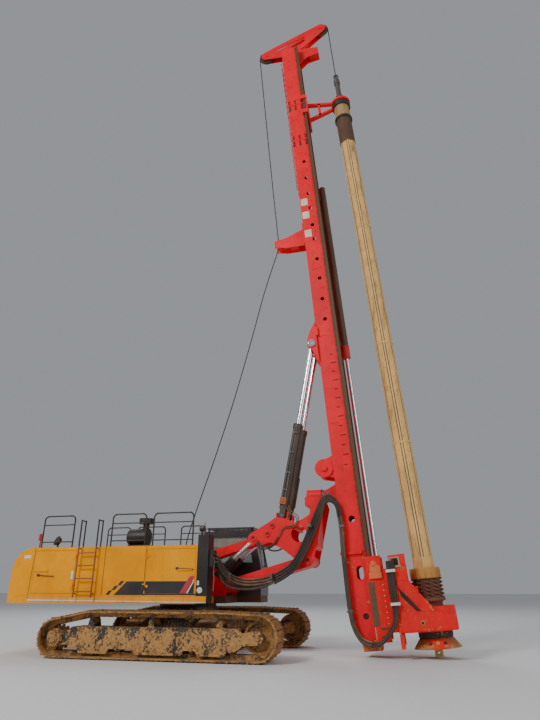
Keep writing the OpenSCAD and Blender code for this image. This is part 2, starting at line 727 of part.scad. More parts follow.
door_win = [cab_door_x[0] + 100, cab_door_x[1] - 100, 2250, cab_door_top - 110];
module cab_door() color(black) {
  hinges(cab_door_x[0], 1, cab_side_y, -1, cab_hinge_z) door_knuckle(1, -1);
  difference() {
    translate([cab_door_x[0] + door_gap, cab_side_y - cab_wall, cab_door_bottom + door_gap])
      cube([cab_door_x[1] - cab_door_x[0] - 2 * door_gap, cab_wall, cab_door_top - cab_door_bottom - 2 * door_gap]);
    translate([door_win[0], cab_side_y - 100, door_win[2]])
      cube([door_win[1] - door_win[0], 200, door_win[3] - door_win[2]]);
  }
  translate([cab_door_x[1] - 220, cab_side_y - 1, 2080]) cube([160, 30, 30]);
}

module cab_door_glass() color([0.6, 0.7, 0.75])
  translate([door_win[0] + seat, cab_side_y - 32, door_win[2] + seat])
    cube([door_win[1] - door_win[0] - 2 * seat, glass_t, door_win[3] - door_win[2] - 2 * seat]);

module operator_seat() color(black) translate([cab_x + 480, cab_y + cab_w / 2, cab_z + cab_wall + seat]) {
  translate([-160, -160, 0]) cube([320, 320, 330]);
  translate([-260, -260, 329]) cube([520, 520, 130]);
  translate([-250, -240, 400]) rotate([0, -8, 0]) cube([110, 480, 620]);
  for (y = [-370, 290]) translate([-160, y, 0]) cube([480, 80, 560]);
}

// Arms
module lower_arm() color(red) difference() {
  union() {
    slab(-arm_half_w, arm_half_w) link2d(arm_root, arm_tip, 150, 150);
    bar_y(arm_root, 150, -root_half_w + gap, root_half_w - gap);
    bar_y(arm_tip, 150, -tri_half_w + tri_plate + gap, tri_half_w - tri_plate - gap);
  }
  slab(-arm_half_w + 30, arm_half_w - 30)
    link2d(arm_root + [260, 73], arm_tip - [260, 73], 118, 118);
  bar_y(arm_root, 60 + pin_gap, -900, 900);
  bar_y(arm_tip, 60 + pin_gap, -900, 900);
}

module upper_link() color(red) difference() {
  slab(-link_half_w, link_half_w) link2d(link_root, link_tip, 140, 95);
  bar_y(link_root, 60 + pin_gap, -900, 900);
  bar_y(link_tip, 50 + pin_gap, -900, 900);
}

// Where the luffing rods' eyes meet the triangle frame, as it stands
luff_tip = link_tip + [-420, -80];
luff_len = norm(luff_tip - luff_base);
luff_angle = atan2(luff_tip[1] - luff_base[1], luff_tip[0] - luff_base[0]);
luff_barrel_len = 1180;
luff_drift = 36;

// Children drawn along the luffing cylinder, from its base pin
module on_luff() translate([luff_base[0], 0, luff_base[1]]) rotate([0, 90 - luff_angle, 0]) children();

module luff_barrels() color(black) on_luff() for (s = [-1, 1]) translate([0, s * luff_y, 0]) {
  difference() {
    union() {
      bar_y([0, 0], 90, -80, 80);
      translate([0, 0, 60]) cylinder(r = luff_barrel_r, h = luff_barrel_len - 60);
      translate([0, 0, luff_barrel_len - 90]) cylinder(r = luff_barrel_r + 10, h = 90);
    }
    bar_y([0, 0], 60 + pin_gap, -100, 100);
    translate([0, 0, 200]) cylinder(r = luff_rod_r + pin_gap, h = luff_barrel_len);
  }
}

module luff_rods() color(chrome) on_luff() for (s = [-1, 1]) translate([0, s * luff_y, 0])
  difference() {
    union() {
      bar_y([0, luff_len], 50 + luff_drift + 28, -45, 45);
      translate([0, 0, 420]) cylinder(r = luff_rod_r, h = luff_len - 420 - 60);
    }
    bar_y([0, luff_len], 50 + luff_drift, -100, 100);
  }

// Triangle frame between the arms and the mast
cyl_base = [2860, 3520];
tri_head = [pivot_x - 620, pivot_x - 200];
tri_inner = tri_half_w - tri_plate - seat;
module triangle_frame() color(red) {
  difference() {
    union() {
      slabs(tri_half_w - tri_plate, tri_half_w) tri_outline();
      slab(-tri_inner, tri_inner) link2d([pivot_x - 340, pivot_z - 240], arm_tip + [130, 420], 120, 150);
      tri_sleeve();
      slabs(298, 338) link2d(luff_tip, cyl_base + [-90, -220], 120, 70);
    }
    bar_y(arm_tip, 60 + pin_gap / 2, -900, 900);
    bar_y(link_tip, 50 + pin_gap / 2, -900, 900);
    bar_y(luff_tip, 50 + pin_gap / 2, -900, 900);
    translate([tri_head[0] - 10, 0, pivot_z]) rotate([0, 90, 0]) cylinder(r = 110, h = 900);
  }
  bar_y(arm_tip, 60, -tri_half_w - 20, tri_half_w + 20);
  bar_y(link_tip, 50, -tri_half_w - 20, tri_half_w + 20);
  bars_y(luff_tip, 50, 290, tri_half_w + 20);
  tri_deck();
  for (s = [-1, 1]) yoke_seat(s);
}

module tri_outline() difference() {
  union() {
    polygon([
      luff_tip + [-40, -150], luff_tip + [-110, 110], link_tip + [100, 390], cyl_base + [-150, -40],
      cyl_base + [170, -110], [3220, 3290], [3500, 3420], [3800, 3610], [pivot_x - 150, pivot_z - 60],
      [pivot_x - 60, pivot_z - 330], arm_tip + [170, 60], arm_tip + [60, -150], arm_tip + [-170, -120],
      [2960, 2560], [2560, 2790]
    ]);
    translate(luff_tip) circle(155);
    translate(arm_tip) circle(165);
  }
  translate([3350, 3000]) circle(215);
}

// Web between the side plates, under the cylinders' seats
module tri_deck() slab(-tri_inner, tri_inner)
  link2d(cyl_base + [-90, -220], [3230, 3170], 60, 60);

// The head's long bearing for the side tilt, with its bore along X
module tri_sleeve() {
  translate([tri_head[0], 0, pivot_z]) rotate([0, 90, 0]) cylinder(r = 190, h = tri_head[1] - tri_head[0]);
  translate([tri_head[0], -tri_inner, pivot_z - 330]) cube([tri_head[1] - tri_head[0], 2 * tri_inner, 230]);
}

// Lugs before and behind each yoke, bored along X
module yoke_seat(s) translate([cyl_base[0], s * cyl_y, cyl_base[1]]) difference() {
  for (x = [-170, 130]) translate([x, -75, -300]) cube([40, 150, 385]);
  translate([-300, 0, 0]) rotate([0, 90, 0]) cylinder(r = 45 + pin_gap, h = 600);
}

// A mast cylinder's cross block: a shaft along X in the lugs, a pin along Y in the barrel's fork
module yoke(s) color(grey) translate([cyl_base[0], s * cyl_y, cyl_base[1]]) {
  translate([-185, 0, 0]) rotate([0, 90, 0]) cylinder(r = 45, h = 370);
  translate([-75, -78, -75]) cube([150, 156, 150]);
  bar_y([0, 0], 45, -132, 132);
}
module yoke_right() yoke(-1);
module yoke_left() yoke(1);

// Mast cylinders, from the base pin to the ear's pin on the mast
ear = [87, 4668];
cyl_top = from_mast(ear[0], ear[1]);
cyl_len = norm(cyl_top - cyl_base);
cyl_angle = atan2(cyl_top[0] - cyl_base[0], cyl_top[1] - cyl_base[1]);
ear_pin_r = 45;
ear_drift = 46;
ear_gap = cyl_rod_r + 8;
ear_t = 40;

// Children drawn along a mast cylinder, from its base pin
module on_cylinder(s) translate([cyl_base[0], s * cyl_y, cyl_base[1]]) rotate([0, cyl_angle, 0]) children();

module mast_barrel(s) color(black) on_cylinder(s) difference() {
  union() {
    slabs(86, 126) link2d([0, 0], [0, 220], 85, 85);
    translate([0, 0, 190]) cylinder(r = cyl_barrel_r, h = cyl_barrel_len - 190);
    translate([0, 0, cyl_barrel_len - 130]) cylinder(r = cyl_barrel_r + 14, h = 130);
    translate([cyl_barrel_r - 20, -30, 330]) cube([45, 60, 900]);
  }
  bar_y([0, 0], 45 + pin_gap, -200, 200);
  translate([0, 0, 320]) cylinder(r = cyl_rod_r + pin_gap, h = cyl_barrel_len);
}
module mast_barrel_right() mast_barrel(-1);
module mast_barrel_left() mast_barrel(1);

// The rod's pin caps stand clear of the ears, which lean a little when the mast tilts
rod_foot = 620;
cap_y = [ear_gap + ear_t + 10, ear_gap + ear_t + 40];
module mast_rod(s) color(chrome) on_cylinder(s) {
  translate([0, 0, rod_foot]) cylinder(r = cyl_rod_r, h = cyl_len - rod_foot - 60);
  bar_y([0, cyl_len], 85, -cyl_rod_r, cyl_rod_r);
  bar_y([0, cyl_len], ear_pin_r, -cap_y[1], cap_y[1]);
  bars_y([0, cyl_len], 125, cap_y[0], cap_y[1]);
}
module mast_rod_right() mast_rod(-1);
module mast_rod_left() mast_rod(1);

// Cardan: a shaft along X in the triangle's head, a boss along Y for the mast's lugs
module cardan() color(grey) {
  translate([tri_head[0] - 20, 0, pivot_z]) rotate([0, 90, 0]) cylinder(r = 110 - pin_gap, h = 640);
  translate([tri_head[1] + gap, 0, pivot_z]) rotate([0, 90, 0]) cylinder(r = 168, h = 64);
  bar_y([pivot_x, pivot_z], 125, -170, 170);
  bar_y([pivot_x, pivot_z], 60, -262, 262);
}

// Mast, drawn in its own frame: d forward from the pivot, y, u up
mast_front = mast_back + mast_d;
rail_y = [mast_w / 2 - 80, mast_w / 2 + 80];
foot_u = -foot_drop;

// One box section with its two front rails, from u0 to u1
module mast_box(u0, u1) {
  translate([0, 0, u0]) linear_extrude(u1 - u0) {
    difference() {
      translate([mast_back, -mast_w / 2]) square([mast_d, mast_w]);
      translate([mast_back + mast_wall, -mast_w / 2 + mast_wall])
        square([mast_d - 2 * mast_wall, mast_w - 2 * mast_wall]);
    }
    for (s = [-1, 1])
      translate([mast_front - 1, s > 0 ? rail_y[0] : -rail_y[1]]) square([rail_d + 1, rail_y[1] - rail_y[0]]);
  }
}

// Round side holes of the upper mast: height, radius
side_holes = [
  [12140, 62], [11360, 62], [10630, 62], [9980, 62], [9240, 62],
  [8640, 62], [7810, 62], [7040, 62], [6240, 62], [5490, 62], [-770, 85]
];
module mast_upper() color(red) on_mast() {
  difference() {
    union() {
      mast_box(-splice_drop + seat, mast_top);
      mast_flange(-splice_drop + seat, 40);
    }
    for (h = side_holes) bar_y([mast_back + mast_d * 0.55, h[0]], h[1], -900, 900);
  }
}

// What is welded to the mast's rear face, each piece seated on it
module mast_brackets() color(red) on_mast() {
  for (s = [-1, 1]) { pivot_lug(s); cylinder_ear(s); }
  aux_winch_frame();
}

// Bolted flange round the box's back and sides
module mast_flange(u0, h) translate([0, 0, u0]) linear_extrude(h) difference() {
  translate([mast_back - 90, -mast_w / 2 - 60]) square([mast_d - 20, mast_w + 120]);
  translate([mast_back + mast_wall, -mast_w / 2 + mast_wall]) square([mast_d, mast_w - 2 * mast_wall]);
}

// Lugs that hold the rake pin
module pivot_lug(s) difference() {
  slab(s > 0 ? 180 : -240, s > 0 ? 240 : -180) {
    circle(135);
    polygon([[0, -135], [mast_back - seat, -260], [mast_back - seat, 260], [0, 135]]);
  }
  bar_y([0, 0], 60 + pin_gap, -900, 900);
}

// A cylinder's ear: two plates on a block behind the mast
module cylinder_ear(s) {
  difference() {
    for (y = [-ear_gap - ear_t, ear_gap]) slab(s * cyl_y + y, s * cyl_y + y + ear_t) polygon([
      [mast_back - seat, ear[1] - 640], [mast_back - seat, ear[1] + 760], [ear[0] - 20, ear[1] + 420],
      [ear[0] - 140, ear[1] + 120], [ear[0] - 140, ear[1] - 80], [ear[0] - 20, ear[1] - 200]
    ]);
    bar_y(ear, ear_pin_r + ear_drift, -900, 900);
  }
  // The block that carries the outer plate past the mast's edge
  block_near = cyl_y - ear_gap - ear_t;
  block_far = cyl_y + ear_gap + ear_t;
  difference() {
    translate([mast_back - 60, s > 0 ? block_near : -block_far, ear[1] + 260])
      cube([120, block_far - block_near, 300]);
    translate([mast_back - seat, -mast_w / 2 - seat, ear[1]]) cube([mast_d, mast_w + 2 * seat, 900]);
  }
}

// Auxiliary winch's cheeks behind the mast, above the pivot
aux_axis = [0, 720];
aux_gear_r = mast_back - aux_axis[0] - gap;
module aux_winch_frame() slabs(330, 360) difference() {
  polygon([
    [mast_back - seat, 420], [aux_axis[0] - 150, aux_axis[1] - 190], [aux_axis[0] - 150, aux_axis[1] + 190],
    [mast_back - seat, 1060]
  ]);
  translate(aux_axis) circle(60);
}

module aux_winch_drum() color(red) on_mast() {
  bar_y(aux_axis, 165, -290, 290);
  bars_y(aux_axis, 235, 290, 318);
  bar_y(aux_axis, 60 - pin_gap, -400, 400);
  bar_y(aux_axis, aux_gear_r, -400, -372);
  bar_y(aux_axis, 90, -460, -400);
}

// Lower mast: box, then side plates that curve forward to the foot
module mast_lower() color(red) on_mast() {
  difference() {
    union() {
      slab(-mast_w / 2, mast_w / 2) lower_outline();
      mast_rails(foot_u + 170, -splice_drop);
      translate([0, 0, -splice_drop - 40]) mast_flange(0, 40);
      foot_block();
    }
    slab(-mast_w / 2 + mast_wall, mast_w / 2 - mast_wall) offset_lower();
    lower_holes();
  }
}

module lower_outline() polygon([
  [mast_back, -splice_drop], [mast_front, -splice_drop], [mast_front, foot_u + 170],
  [mast_back + 450, foot_u + 60], [mast_back + 210, foot_u + 160], [mast_back + 40, foot_u + 370],
  [mast_back - 50, foot_u + 700], [mast_back - 90, foot_u + 1100], [mast_back - 40, -splice_drop - 500]
]);

// The hollow inside the lower mast
module offset_lower() polygon([
  [mast_back + mast_wall, -splice_drop + 1], [mast_front - mast_wall, -splice_drop + 1],
  [mast_front - mast_wall, foot_u + 400], [mast_back + 160, foot_u + 400],
  [mast_back - 20, foot_u + 760], [mast_back - 60, foot_u + 1100], [mast_back - 10, -splice_drop - 480]
]);

module mast_rails(u0, u1) for (s = [-1, 1])
  translate([mast_front - 1, s > 0 ? rail_y[0] : -rail_y[1], u0])
    cube([rail_d + 1, rail_y[1] - rail_y[0], u1 - u0]);

module foot_block() translate([0, 0, foot_u]) slab(-330, 330)
  polygon([[mast_back + 130, 420], [mast_back + 200, 0], [mast_front + 60, 0], [mast_front + 60, 420]]);

module lower_holes() {
  slab(-900, 900) link2d([mast_back + 370, -2085], [mast_back + 370, -2240], 90, 90);
  bar_y([mast_back + 370, -3210], 75, -900, 900);
}

// Head frame that carries the two sheaves
rear_sheave = [-400, mast_top + 380];
front_sheave = [kelly_d - sheave_r + 20, mast_top + 1180];
head_plate_y = [90, 125];
module mast_head() color(red) on_mast() {
  slabs(head_plate_y[0], head_plate_y[1]) head_outline();
  for (p = [rear_sheave, front_sheave]) bar_y(p, 60, -150, 150);
  translate([mast_back, -mast_w / 2, mast_top + seat]) cube([mast_d, mast_w, 60]);
  front_bracket();
}

module head_outline() difference() {
  union() {
    link2d(rear_sheave, front_sheave, 230, 230);
    polygon([
      [mast_back, mast_top + 55], [mast_front, mast_top + 55],
      front_sheave + [120, -200], rear_sheave + [0, -230]
    ]);
  }
  link2d([120, mast_top + 530], [1250, mast_top + 850], 55, 55);
  link2d([750, mast_top + 450], [1250, mast_top + 700], 90, 60);
}

// Front bracket under the head, over the kelly bar
module front_bracket() {
  slabs(120, 160) polygon([
    [mast_front + seat, mast_top - 740], [mast_front + 400, mast_top - 400],
    [mast_front + 900, mast_top - 340], [mast_front + 900, mast_top + 30],
    [mast_front + 450, mast_top + 140], [mast_front + seat, mast_top + 120]
  ]);
  translate([mast_front + 500, -160, mast_top - 320]) cube([400, 320, 340]);
}

module sheave(p) on_mast() difference() {
  union() {
    bar_y(p, sheave_r, -45, 45);
    bar_y(p, 110, -88, 88);
  }
  bar_y(p, 60 + pin_gap, -200, 200);
  translate([p[0], 0, p[1]]) rotate([90, 0, 0])
    rotate_extrude() translate([sheave_r + 6, 0]) circle(34);
  for (i = [0 : 5]) rotate_about(p, i * 60) bar_y(p + [195, 0], 58, -200, 200);
}

// Children turned about the Y axis through p
module rotate_about(p, a) translate([p[0], 0, p[1]]) rotate([0, a, 0]) translate([-p[0], 0, -p[1]]) children();

module sheave_rear() color(black) sheave(rear_sheave);
module sheave_front() color(black) sheave(front_sheave);

// Rope guide on an arm behind the mast
rope_roller = [-690, 8900];
module rope_bracket() color(red) on_mast() {
  slabs(150, 190) polygon([
    [mast_back - seat, 8620], [-420, 8660], [rope_roller[0] - 150, rope_roller[1] - 130],
    [rope_roller[0] - 150, rope_roller[1] + 130], [-420, 9080], [mast_back - seat, 9330]
  ]);
  translate([mast_back - 40, -mast_w / 2, 8560]) cube([40 - seat, mast_w, 830]);
  translate([-300, -155, 8700]) cube([300, 310, 300]);
  for (p = [rope_roller + [0, -70], rope_roller + [-30, 110]]) bar_y(p, 55, -151, 151);
}

// Crowd cylinder in front of the mast
crowd_d = mast_front + rail_d + 130;
crowd_gland = 4170;
crowd_top = 11050;
module crowd_barrel() color([0.35, 0.22, 0.15]) on_mast() {
  difference() {
    union() {
      translate([crowd_d, 0, crowd_gland]) cylinder(r = crowd_barrel_r, h = crowd_top - crowd_gland);
      translate([crowd_d, 0, crowd_gland]) cylinder(r = crowd_barrel_r + 14, h = 420);
    }
    translate([crowd_d, 0, crowd_gland - 10]) cylinder(r = crowd_rod_r + pin_gap, h = 6500);
  }
  for (u = [crowd_gland + 420, crowd_top - 600])
    translate([mast_front + seat, -140, u]) cube([crowd_d - mast_front - crowd_barrel_r + 20, 280, 160]);
}

// Rotary drive and its sled
sled_top = -1780;
sled_bottom = foot_u + 190;
slide_gap = 5;
rail_front = mast_front + rail_d;
module drive_sled() color(red) on_mast() {
  for (s = [-1, 1]) sled_side(s);
  for (u = [sled_bottom, sled_top - 120]) slide_pads(u);
  // Cross beam behind the gearbox
  translate([rail_front + slide_gap + 240, -rail_y[1] - 40, -3620]) cube([210, 2 * rail_y[1] + 80, 1500]);
  crowd_clevis();
}

// One side of the sled: a claw round the rail, from sled_top to sled_bottom
module sled_side(s) {
  y_out = rail_y[1] + slide_gap;
  translate([0, 0, sled_bottom]) linear_extrude(sled_top - sled_bottom) scale([1, s]) polygon([
    [mast_front - 60, mast_w / 2 + slide_gap], [mast_front - slide_gap, mast_w / 2 + slide_gap],
    [mast_front - slide_gap, y_out], [rail_front + slide_gap, y_out],
    [rail_front + slide_gap, rail_y[0] - 30], [rail_front + 60, rail_y[0] - 30],
    [rail_front + 60, y_out - 10], [rail_front + 260, y_out - 10], [rail_front + 260, y_out + 35],
    [mast_front - 60, y_out + 35]
  ]);
}

// Wear pads that run on the rails' front faces
module slide_pads(u) for (s = [-1, 1])
  translate([rail_front + pin_gap, s > 0 ? rail_y[0] - 20 : -rail_y[1] - 4, u])
    cube([slide_gap + 1, rail_y[1] - rail_y[0] + 24, 120]);

// Bracket that takes the crowd rod's end
module crowd_clevis() {
  difference() {
    union() {
      translate([crowd_d - 110, -150, -2340]) cube([220, 300, 420]);
      translate([crowd_d - 60, -rail_y[1], -2300]) cube([120, 2 * rail_y[1], 200]);
    }
    translate([crowd_d, 0, -2200]) cylinder(r = crowd_rod_r + seat, h = 600);
  }
}

module crowd_rod() color(chrome) on_mast()
  translate([crowd_d, 0, -2200 + seat]) cylinder(r = crowd_rod_r, h = crowd_gland + 2450);

// Gearbox frame: two side frames and the round box between them
gear_back = rail_front + slide_gap + 450 + seat;
gear_half_w = 720;
module drive_gearbox() color(red) on_mast() {
  difference() {
    union() {
      slabs(gear_half_w - 45, gear_half_w) side_frame_outline();
      translate([gear_back, -gear_half_w, -3630]) cube([220, 2 * gear_half_w, 620]);
      translate([kelly_d, 0, -3660]) cylinder(r = 600, h = 560);
      translate([gear_back + 10, -gear_half_w + 1, -3630]) cube([kelly_d + 380 - gear_back, 2 * gear_half_w - 2, 300]);
    }
    translate([kelly_d, 0, -4500]) cylinder(r = sleeve_r + pin_gap, h = 3000);
  }
  gear_motors();
}

module side_frame_outline() {
  polygon([
    [gear_back, -1820], [gear_back + 430, -1800], [gear_back + 440, -2440], [kelly_d - 20, -3170],
    [kelly_d + 540, -3320], [kelly_d + 520, -3640], [gear_back, -3640]
  ]);
}

// Hydraulic motors on top of the gearbox, beside the kelly bar
module gear_motors() for (s = [-1, 1])
  translate([kelly_d - 330, s * 470, -3101]) {
    cylinder(r = 120, h = 330);
    translate([0, 0, 329]) cylinder(r = 85, h = 170);
  }

sleeve_r = 315;
module drive_sleeve() color([0.72, 0.55, 0.30]) on_mast() translate([kelly_d, 0, 0]) {
  difference() {
    union() {
      translate([0, 0, -3780]) cylinder(r = sleeve_r, h = 780);
      translate([0, 0, -3001]) cylinder(r = 345, h = 90);
      translate([0, 0, -2912]) cylinder(r = 300, h = 480);
      translate([0, 0, -2433]) cylinder(r = 358, h = 255);
      // Coils of the buffer springs round the sleeve's neck
      for (k = [0 : 4]) translate([0, 0, -2862 + k * 88]) cylinder(r = 338, h = 44);
    }
    translate([0, 0, -3900]) cylinder(r = kelly_r + 12, h = 2000);
  }
}

// Lower housing under the gearbox: a dark ring and a wide conical guard
module lower_housing() color(red) on_mast() translate([kelly_d, 0, 0]) difference() {
  union() {
    translate([0, 0, -3800]) cylinder(r = 430, h = 140 - seat);
    translate([0, 0, -housing_drop]) cylinder(r1 = 590, r2 = 400, h = 250);
  }
  translate([0, 0, -5000]) cylinder(r = kelly_r + 60, h = 2000);
}

// Kelly bar with its guide on the mast and the swivel above it
guide_u = [14180, 15380];
module kelly_guide() color(red) on_mast() {
  for (s = [-1, 1]) guide_claw(s);
  for (u = [guide_u[0], guide_u[1] - 120]) slide_pads(u);
  difference() {
    translate([rail_front + slide_gap, -rail_y[1], guide_u[0]]) cube([60, 2 * rail_y[1], guide_u[1] - guide_u[0]]);
    translate([0, 0, -1]) translate([crowd_d, 0, guide_u[0]]) cylinder(r = 10, h = 10);
  }
  difference() {
    union() {
      slabs(240, 285) polygon([
        [rail_front + 40, guide_u[0]], [rail_front + 200, guide_u[0]], [kelly_d, guide_u[0] + 330],
        [kelly_d, guide_u[0] + 860], [rail_front + 200, guide_u[1]], [rail_front + 40, guide_u[1]]
      ]);
      translate([kelly_d, 0, guide_u[0] + 300]) cylinder(r = 350, h = 560);
      translate([rail_front + 300, -241, guide_u[0] + 540]) cube([kelly_d - rail_front - 300, 482, 60]);
    }
    translate([kelly_d, 0, guide_u[0] - 100]) cylinder(r = kelly_r + 18 + pin_gap, h = 1600);
    slab(-900, 900) polygon([
      [rail_front + 230, guide_u[0] + 640], [rail_front + 700, guide_u[0] + 640],
      [rail_front + 620, guide_u[0] + 860], [rail_front + 230, guide_u[1] - 170]
    ]);
    slab(-900, 900) polygon([
      [rail_front + 230, guide_u[0] + 170], [rail_front + 700, guide_u[0] + 430],
      [rail_front + 700, guide_u[0] + 500], [rail_front + 230, guide_u[0] + 500]
    ]);
  }
}

module guide_claw(s) {
  y_out = rail_y[1] + slide_gap;
  translate([0, 0, guide_u[0]]) linear_extrude(guide_u[1] - guide_u[0]) scale([1, s]) polygon([
    [mast_front - 60, mast_w / 2 + slide_gap], [mast_front - slide_gap, mast_w / 2 + slide_gap],
    [mast_front - slide_gap, y_out], [rail_front + slide_gap, y_out],
    [rail_front + slide_gap, y_out - 30], [rail_front + 60, y_out - 30],
    [rail_front + 60, y_out + 35], [mast_front - 60, y_out + 35]
  ]);
}

// Swivel: a stem on the kelly's head with the rope's eye on top; it doesn't turn with the bar
kelly_top = guide_u[0] + 900;
module kelly_swivel() color(grey) on_mast() translate([kelly_d, 0, kelly_top + seat]) {
  cylinder(r = 150, h = 300);
  translate([0, 0, 299]) cylinder(r = 95, h = 700);
  translate([0, 0, 998]) cylinder(r = 120, h = 220);
  difference() {
    slab(-40, 40) link2d([0, 1217], [0, 1440], 90, 100);
    bar_y([0, 1440], 45, -100, 100);
  }
}

// Kelly bar: an outer tube, and the inner bar that ends in the square stub for the tool
kelly_foot = -4060;
kelly_wall = 50;
stub_half = 100;
stub_len = 190;
stub_bore_r = 32;
module kelly_bar() color([0.66, 0.55, 0.36]) on_mast() translate([kelly_d, 0, 0]) difference() {
  union() {
    difference() {
      union() {
        translate([0, 0, kelly_foot]) cylinder(r = kelly_r, h = kelly_top - kelly_foot);
        translate([0, 0, 12850]) cylinder(r = kelly_r + 18, h = kelly_top - 12850);
      }
      translate([0, 0, kelly_foot + 60]) cylinder(r = kelly_r - kelly_wall, h = kelly_top - kelly_foot - 360);
      translate([kelly_r - 90, 0, kelly_foot - 10]) cylinder(r = 20, h = 90);
    }
    translate([-stub_half, -stub_half, kelly_foot - stub_len])
      cube([2 * stub_half, 2 * stub_half, stub_len + 1]);
    translate([0, 0, kelly_foot + 50]) cylinder(r = stub_half, h = kelly_top - kelly_foot - 100);
  }
  bar_y([0, kelly_foot - 110], stub_bore_r, -400, 400);
}

// Hoses, in bundles that clamps hold: each bundle rides on one body, beside the arms and the mast
hose_step = 2.2 * hose_r;
hose_sides = 8;
// A smooth curve through points: the place at t, from 0 at the first point to 1 at the last
function curve_at(points, t) =
  let (last = len(points) - 1, k = min(floor(t * last), last - 1), f = t * last - k,
       a = points[max(k - 1, 0)], b = points[k], c = points[k + 1], d = points[min(k + 2, last)])
  0.5 * ((2 * b) + (c - a) * f + (2 * a - 5 * b + 4 * c - d) * f * f + (3 * b - a - 3 * c + d) * f * f * f);
function unit(v) = v / norm(v);
function hose_ring(p, ahead, r) =
  let (flat = unit(cross(ahead, [0, 1, 0])), out = cross(flat, ahead))
  [for (k = [0 : hose_sides - 1]) p + r * (flat * cos(k * 360 / hose_sides) + out * sin(k * 360 / hose_sides))];

// A hose swept along its points in n lengths
module hose(points, r, n) {
  rings = [for (k = [0 : n]) let (t = k / n, d = 0.01)
    hose_ring(curve_at(points, t),
      unit(curve_at(points, min(t + d, 1)) - curve_at(points, max(t - d, 0))), r)];
  polyhedron([for (ring = rings) each ring], concat(
    [[for (j = [hose_sides - 1 : -1 : 0]) j]],
    [for (k = [0 : n - 1]) for (j = [0 : hose_sides - 1])
      let (a = k * hose_sides, m = (j + 1) % hose_sides, b = a + hose_sides)
      each [[a + j, b + m, b + j], [a + j, a + m, b + m]]],
    [[for (j = [0 : hose_sides - 1]) n * hose_sides + j]]));
}

// Hoses side by side: the route, how many, the step from one to the next at each end
module bundle(route, count, step, end_step, n) for (k = [0 : count - 1])
  hose([for (i = [0 : len(route) - 1]) let (t = i / (len(route) - 1))
    route[i] + k * (step * (1 - t) + end_step * t)], hose_r, n);

boom_route = [
  [bulkhead_x - 30, -1230, 2420], [bulkhead_x + 70, -1230, 2400], [1350, -1150, 2180],
  [1540, -970, 1950], [1860, hose_y - 60, 1830], [2300, hose_y, 1850]
];
arm_route = [[2330, hose_y, 1860], [2620, hose_y, 1930], [2930, hose_y, 2080], [3210, hose_y, 2310]];
triangle_route = [
  [3300, hose_y, 2400], [3450, hose_y, 2700], [3690, hose_y, 3220], [3940, hose_y, 3740],
  [4110, hose_y, 3940]
];
mast_route = [
  [140, mast_hose_y, -80], [300, mast_hose_y, -290], [310, mast_hose_y, -830],
  [235, mast_hose_y, -1470], [190, mast_hose_y, -2200], [190, mast_hose_y, -3050],
  [260, mast_hose_y, -3490], [460, mast_hose_y, -3790], [690, mast_hose_y, -3900]
];
// A clamp round a bundle, seated on a side plate: a box in the XZ plane, its two ends along Y
module hose_clamp(low, high, plate_y, last_y)
  translate([low[0], last_y - hose_r - clamp_rim, low[1]])
    cube([high[0] - low[0], plate_y - seat - last_y + hose_r + clamp_rim, high[1] - low[1]]);

side_step = [0, -hose_step, -20];
mast_step = [-hose_step - 6, 0, -60];
module hose_boom() color(black) difference() {
  bundle(boom_route, 3, [0, -40, -84], side_step, 24);
  // The ends are cut square against the bulkhead
  translate([bulkhead_x - 200, -1600, 2000]) cube([200 + seat, 700, 600]);
}
module hose_arm() color(black) {
  bundle(arm_route, 3, side_step, side_step, 14);
  hose_clamp([2590, 1840], [2650, 1985], -arm_half_w, hose_y - 2 * hose_step);
}
module hose_triangle() color(black) {
  bundle(triangle_route, 3, side_step, side_step, 18);
  hose_clamp([3630, 3150], [3740, 3240], -tri_half_w, hose_y - 2 * hose_step);
}
module hose_mast() color(black) on_mast() {
  bundle(mast_route, 2, mast_step, mast_step, 28);
  hose_clamp([mast_back - 90, -870], [mast_back + 90, -790], -mast_w / 2, mast_hose_y);
  hose_clamp([mast_back - 200, -3090], [mast_back - 35, -3010], -mast_w / 2, mast_hose_y);
}

place() car_body();
place() track_frames();
place() track_right();
place() track_left();
place() sprockets();
place() idlers();
place() rollers();
place() slew_ring();
place() platform();
place() arm_brackets();
place() engine_hood();
place() counterweight();
place() engine_block();
place() hood_door_right_rear();
place() hood_door_right_front();
place() hood_door_left();
place() handrails();
place() ladder();
place() air_cleaner();
place() front_box();
place() winch_drum();
place() cab_shell();
place() cab_glass();
place() cab_door();
place() cab_door_glass();
place() operator_seat();
place() lower_arm();
place() upper_link();
place() luff_barrels();
place() luff_rods();
place() triangle_frame();
place() yoke_right();
place() yoke_left();
place() mast_barrel_right();
place() mast_barrel_left();
place() mast_rod_right();
place() mast_rod_left();
place() cardan();
place() mast_lower();
place() mast_upper();
place() mast_brackets();
place() mast_head();
place() rope_bracket();
place() crowd_barrel();
place() aux_winch_drum();
place() sheave_rear();
place() sheave_front();
place() drive_sled();
place() crowd_rod();
place() drive_gearbox();
place() lower_housing();
place() drive_sleeve();
place() kelly_guide();
place() kelly_swivel();
place() kelly_bar();
place() hose_boom();
place() hose_arm();
place() hose_triangle();
place() hose_mast();
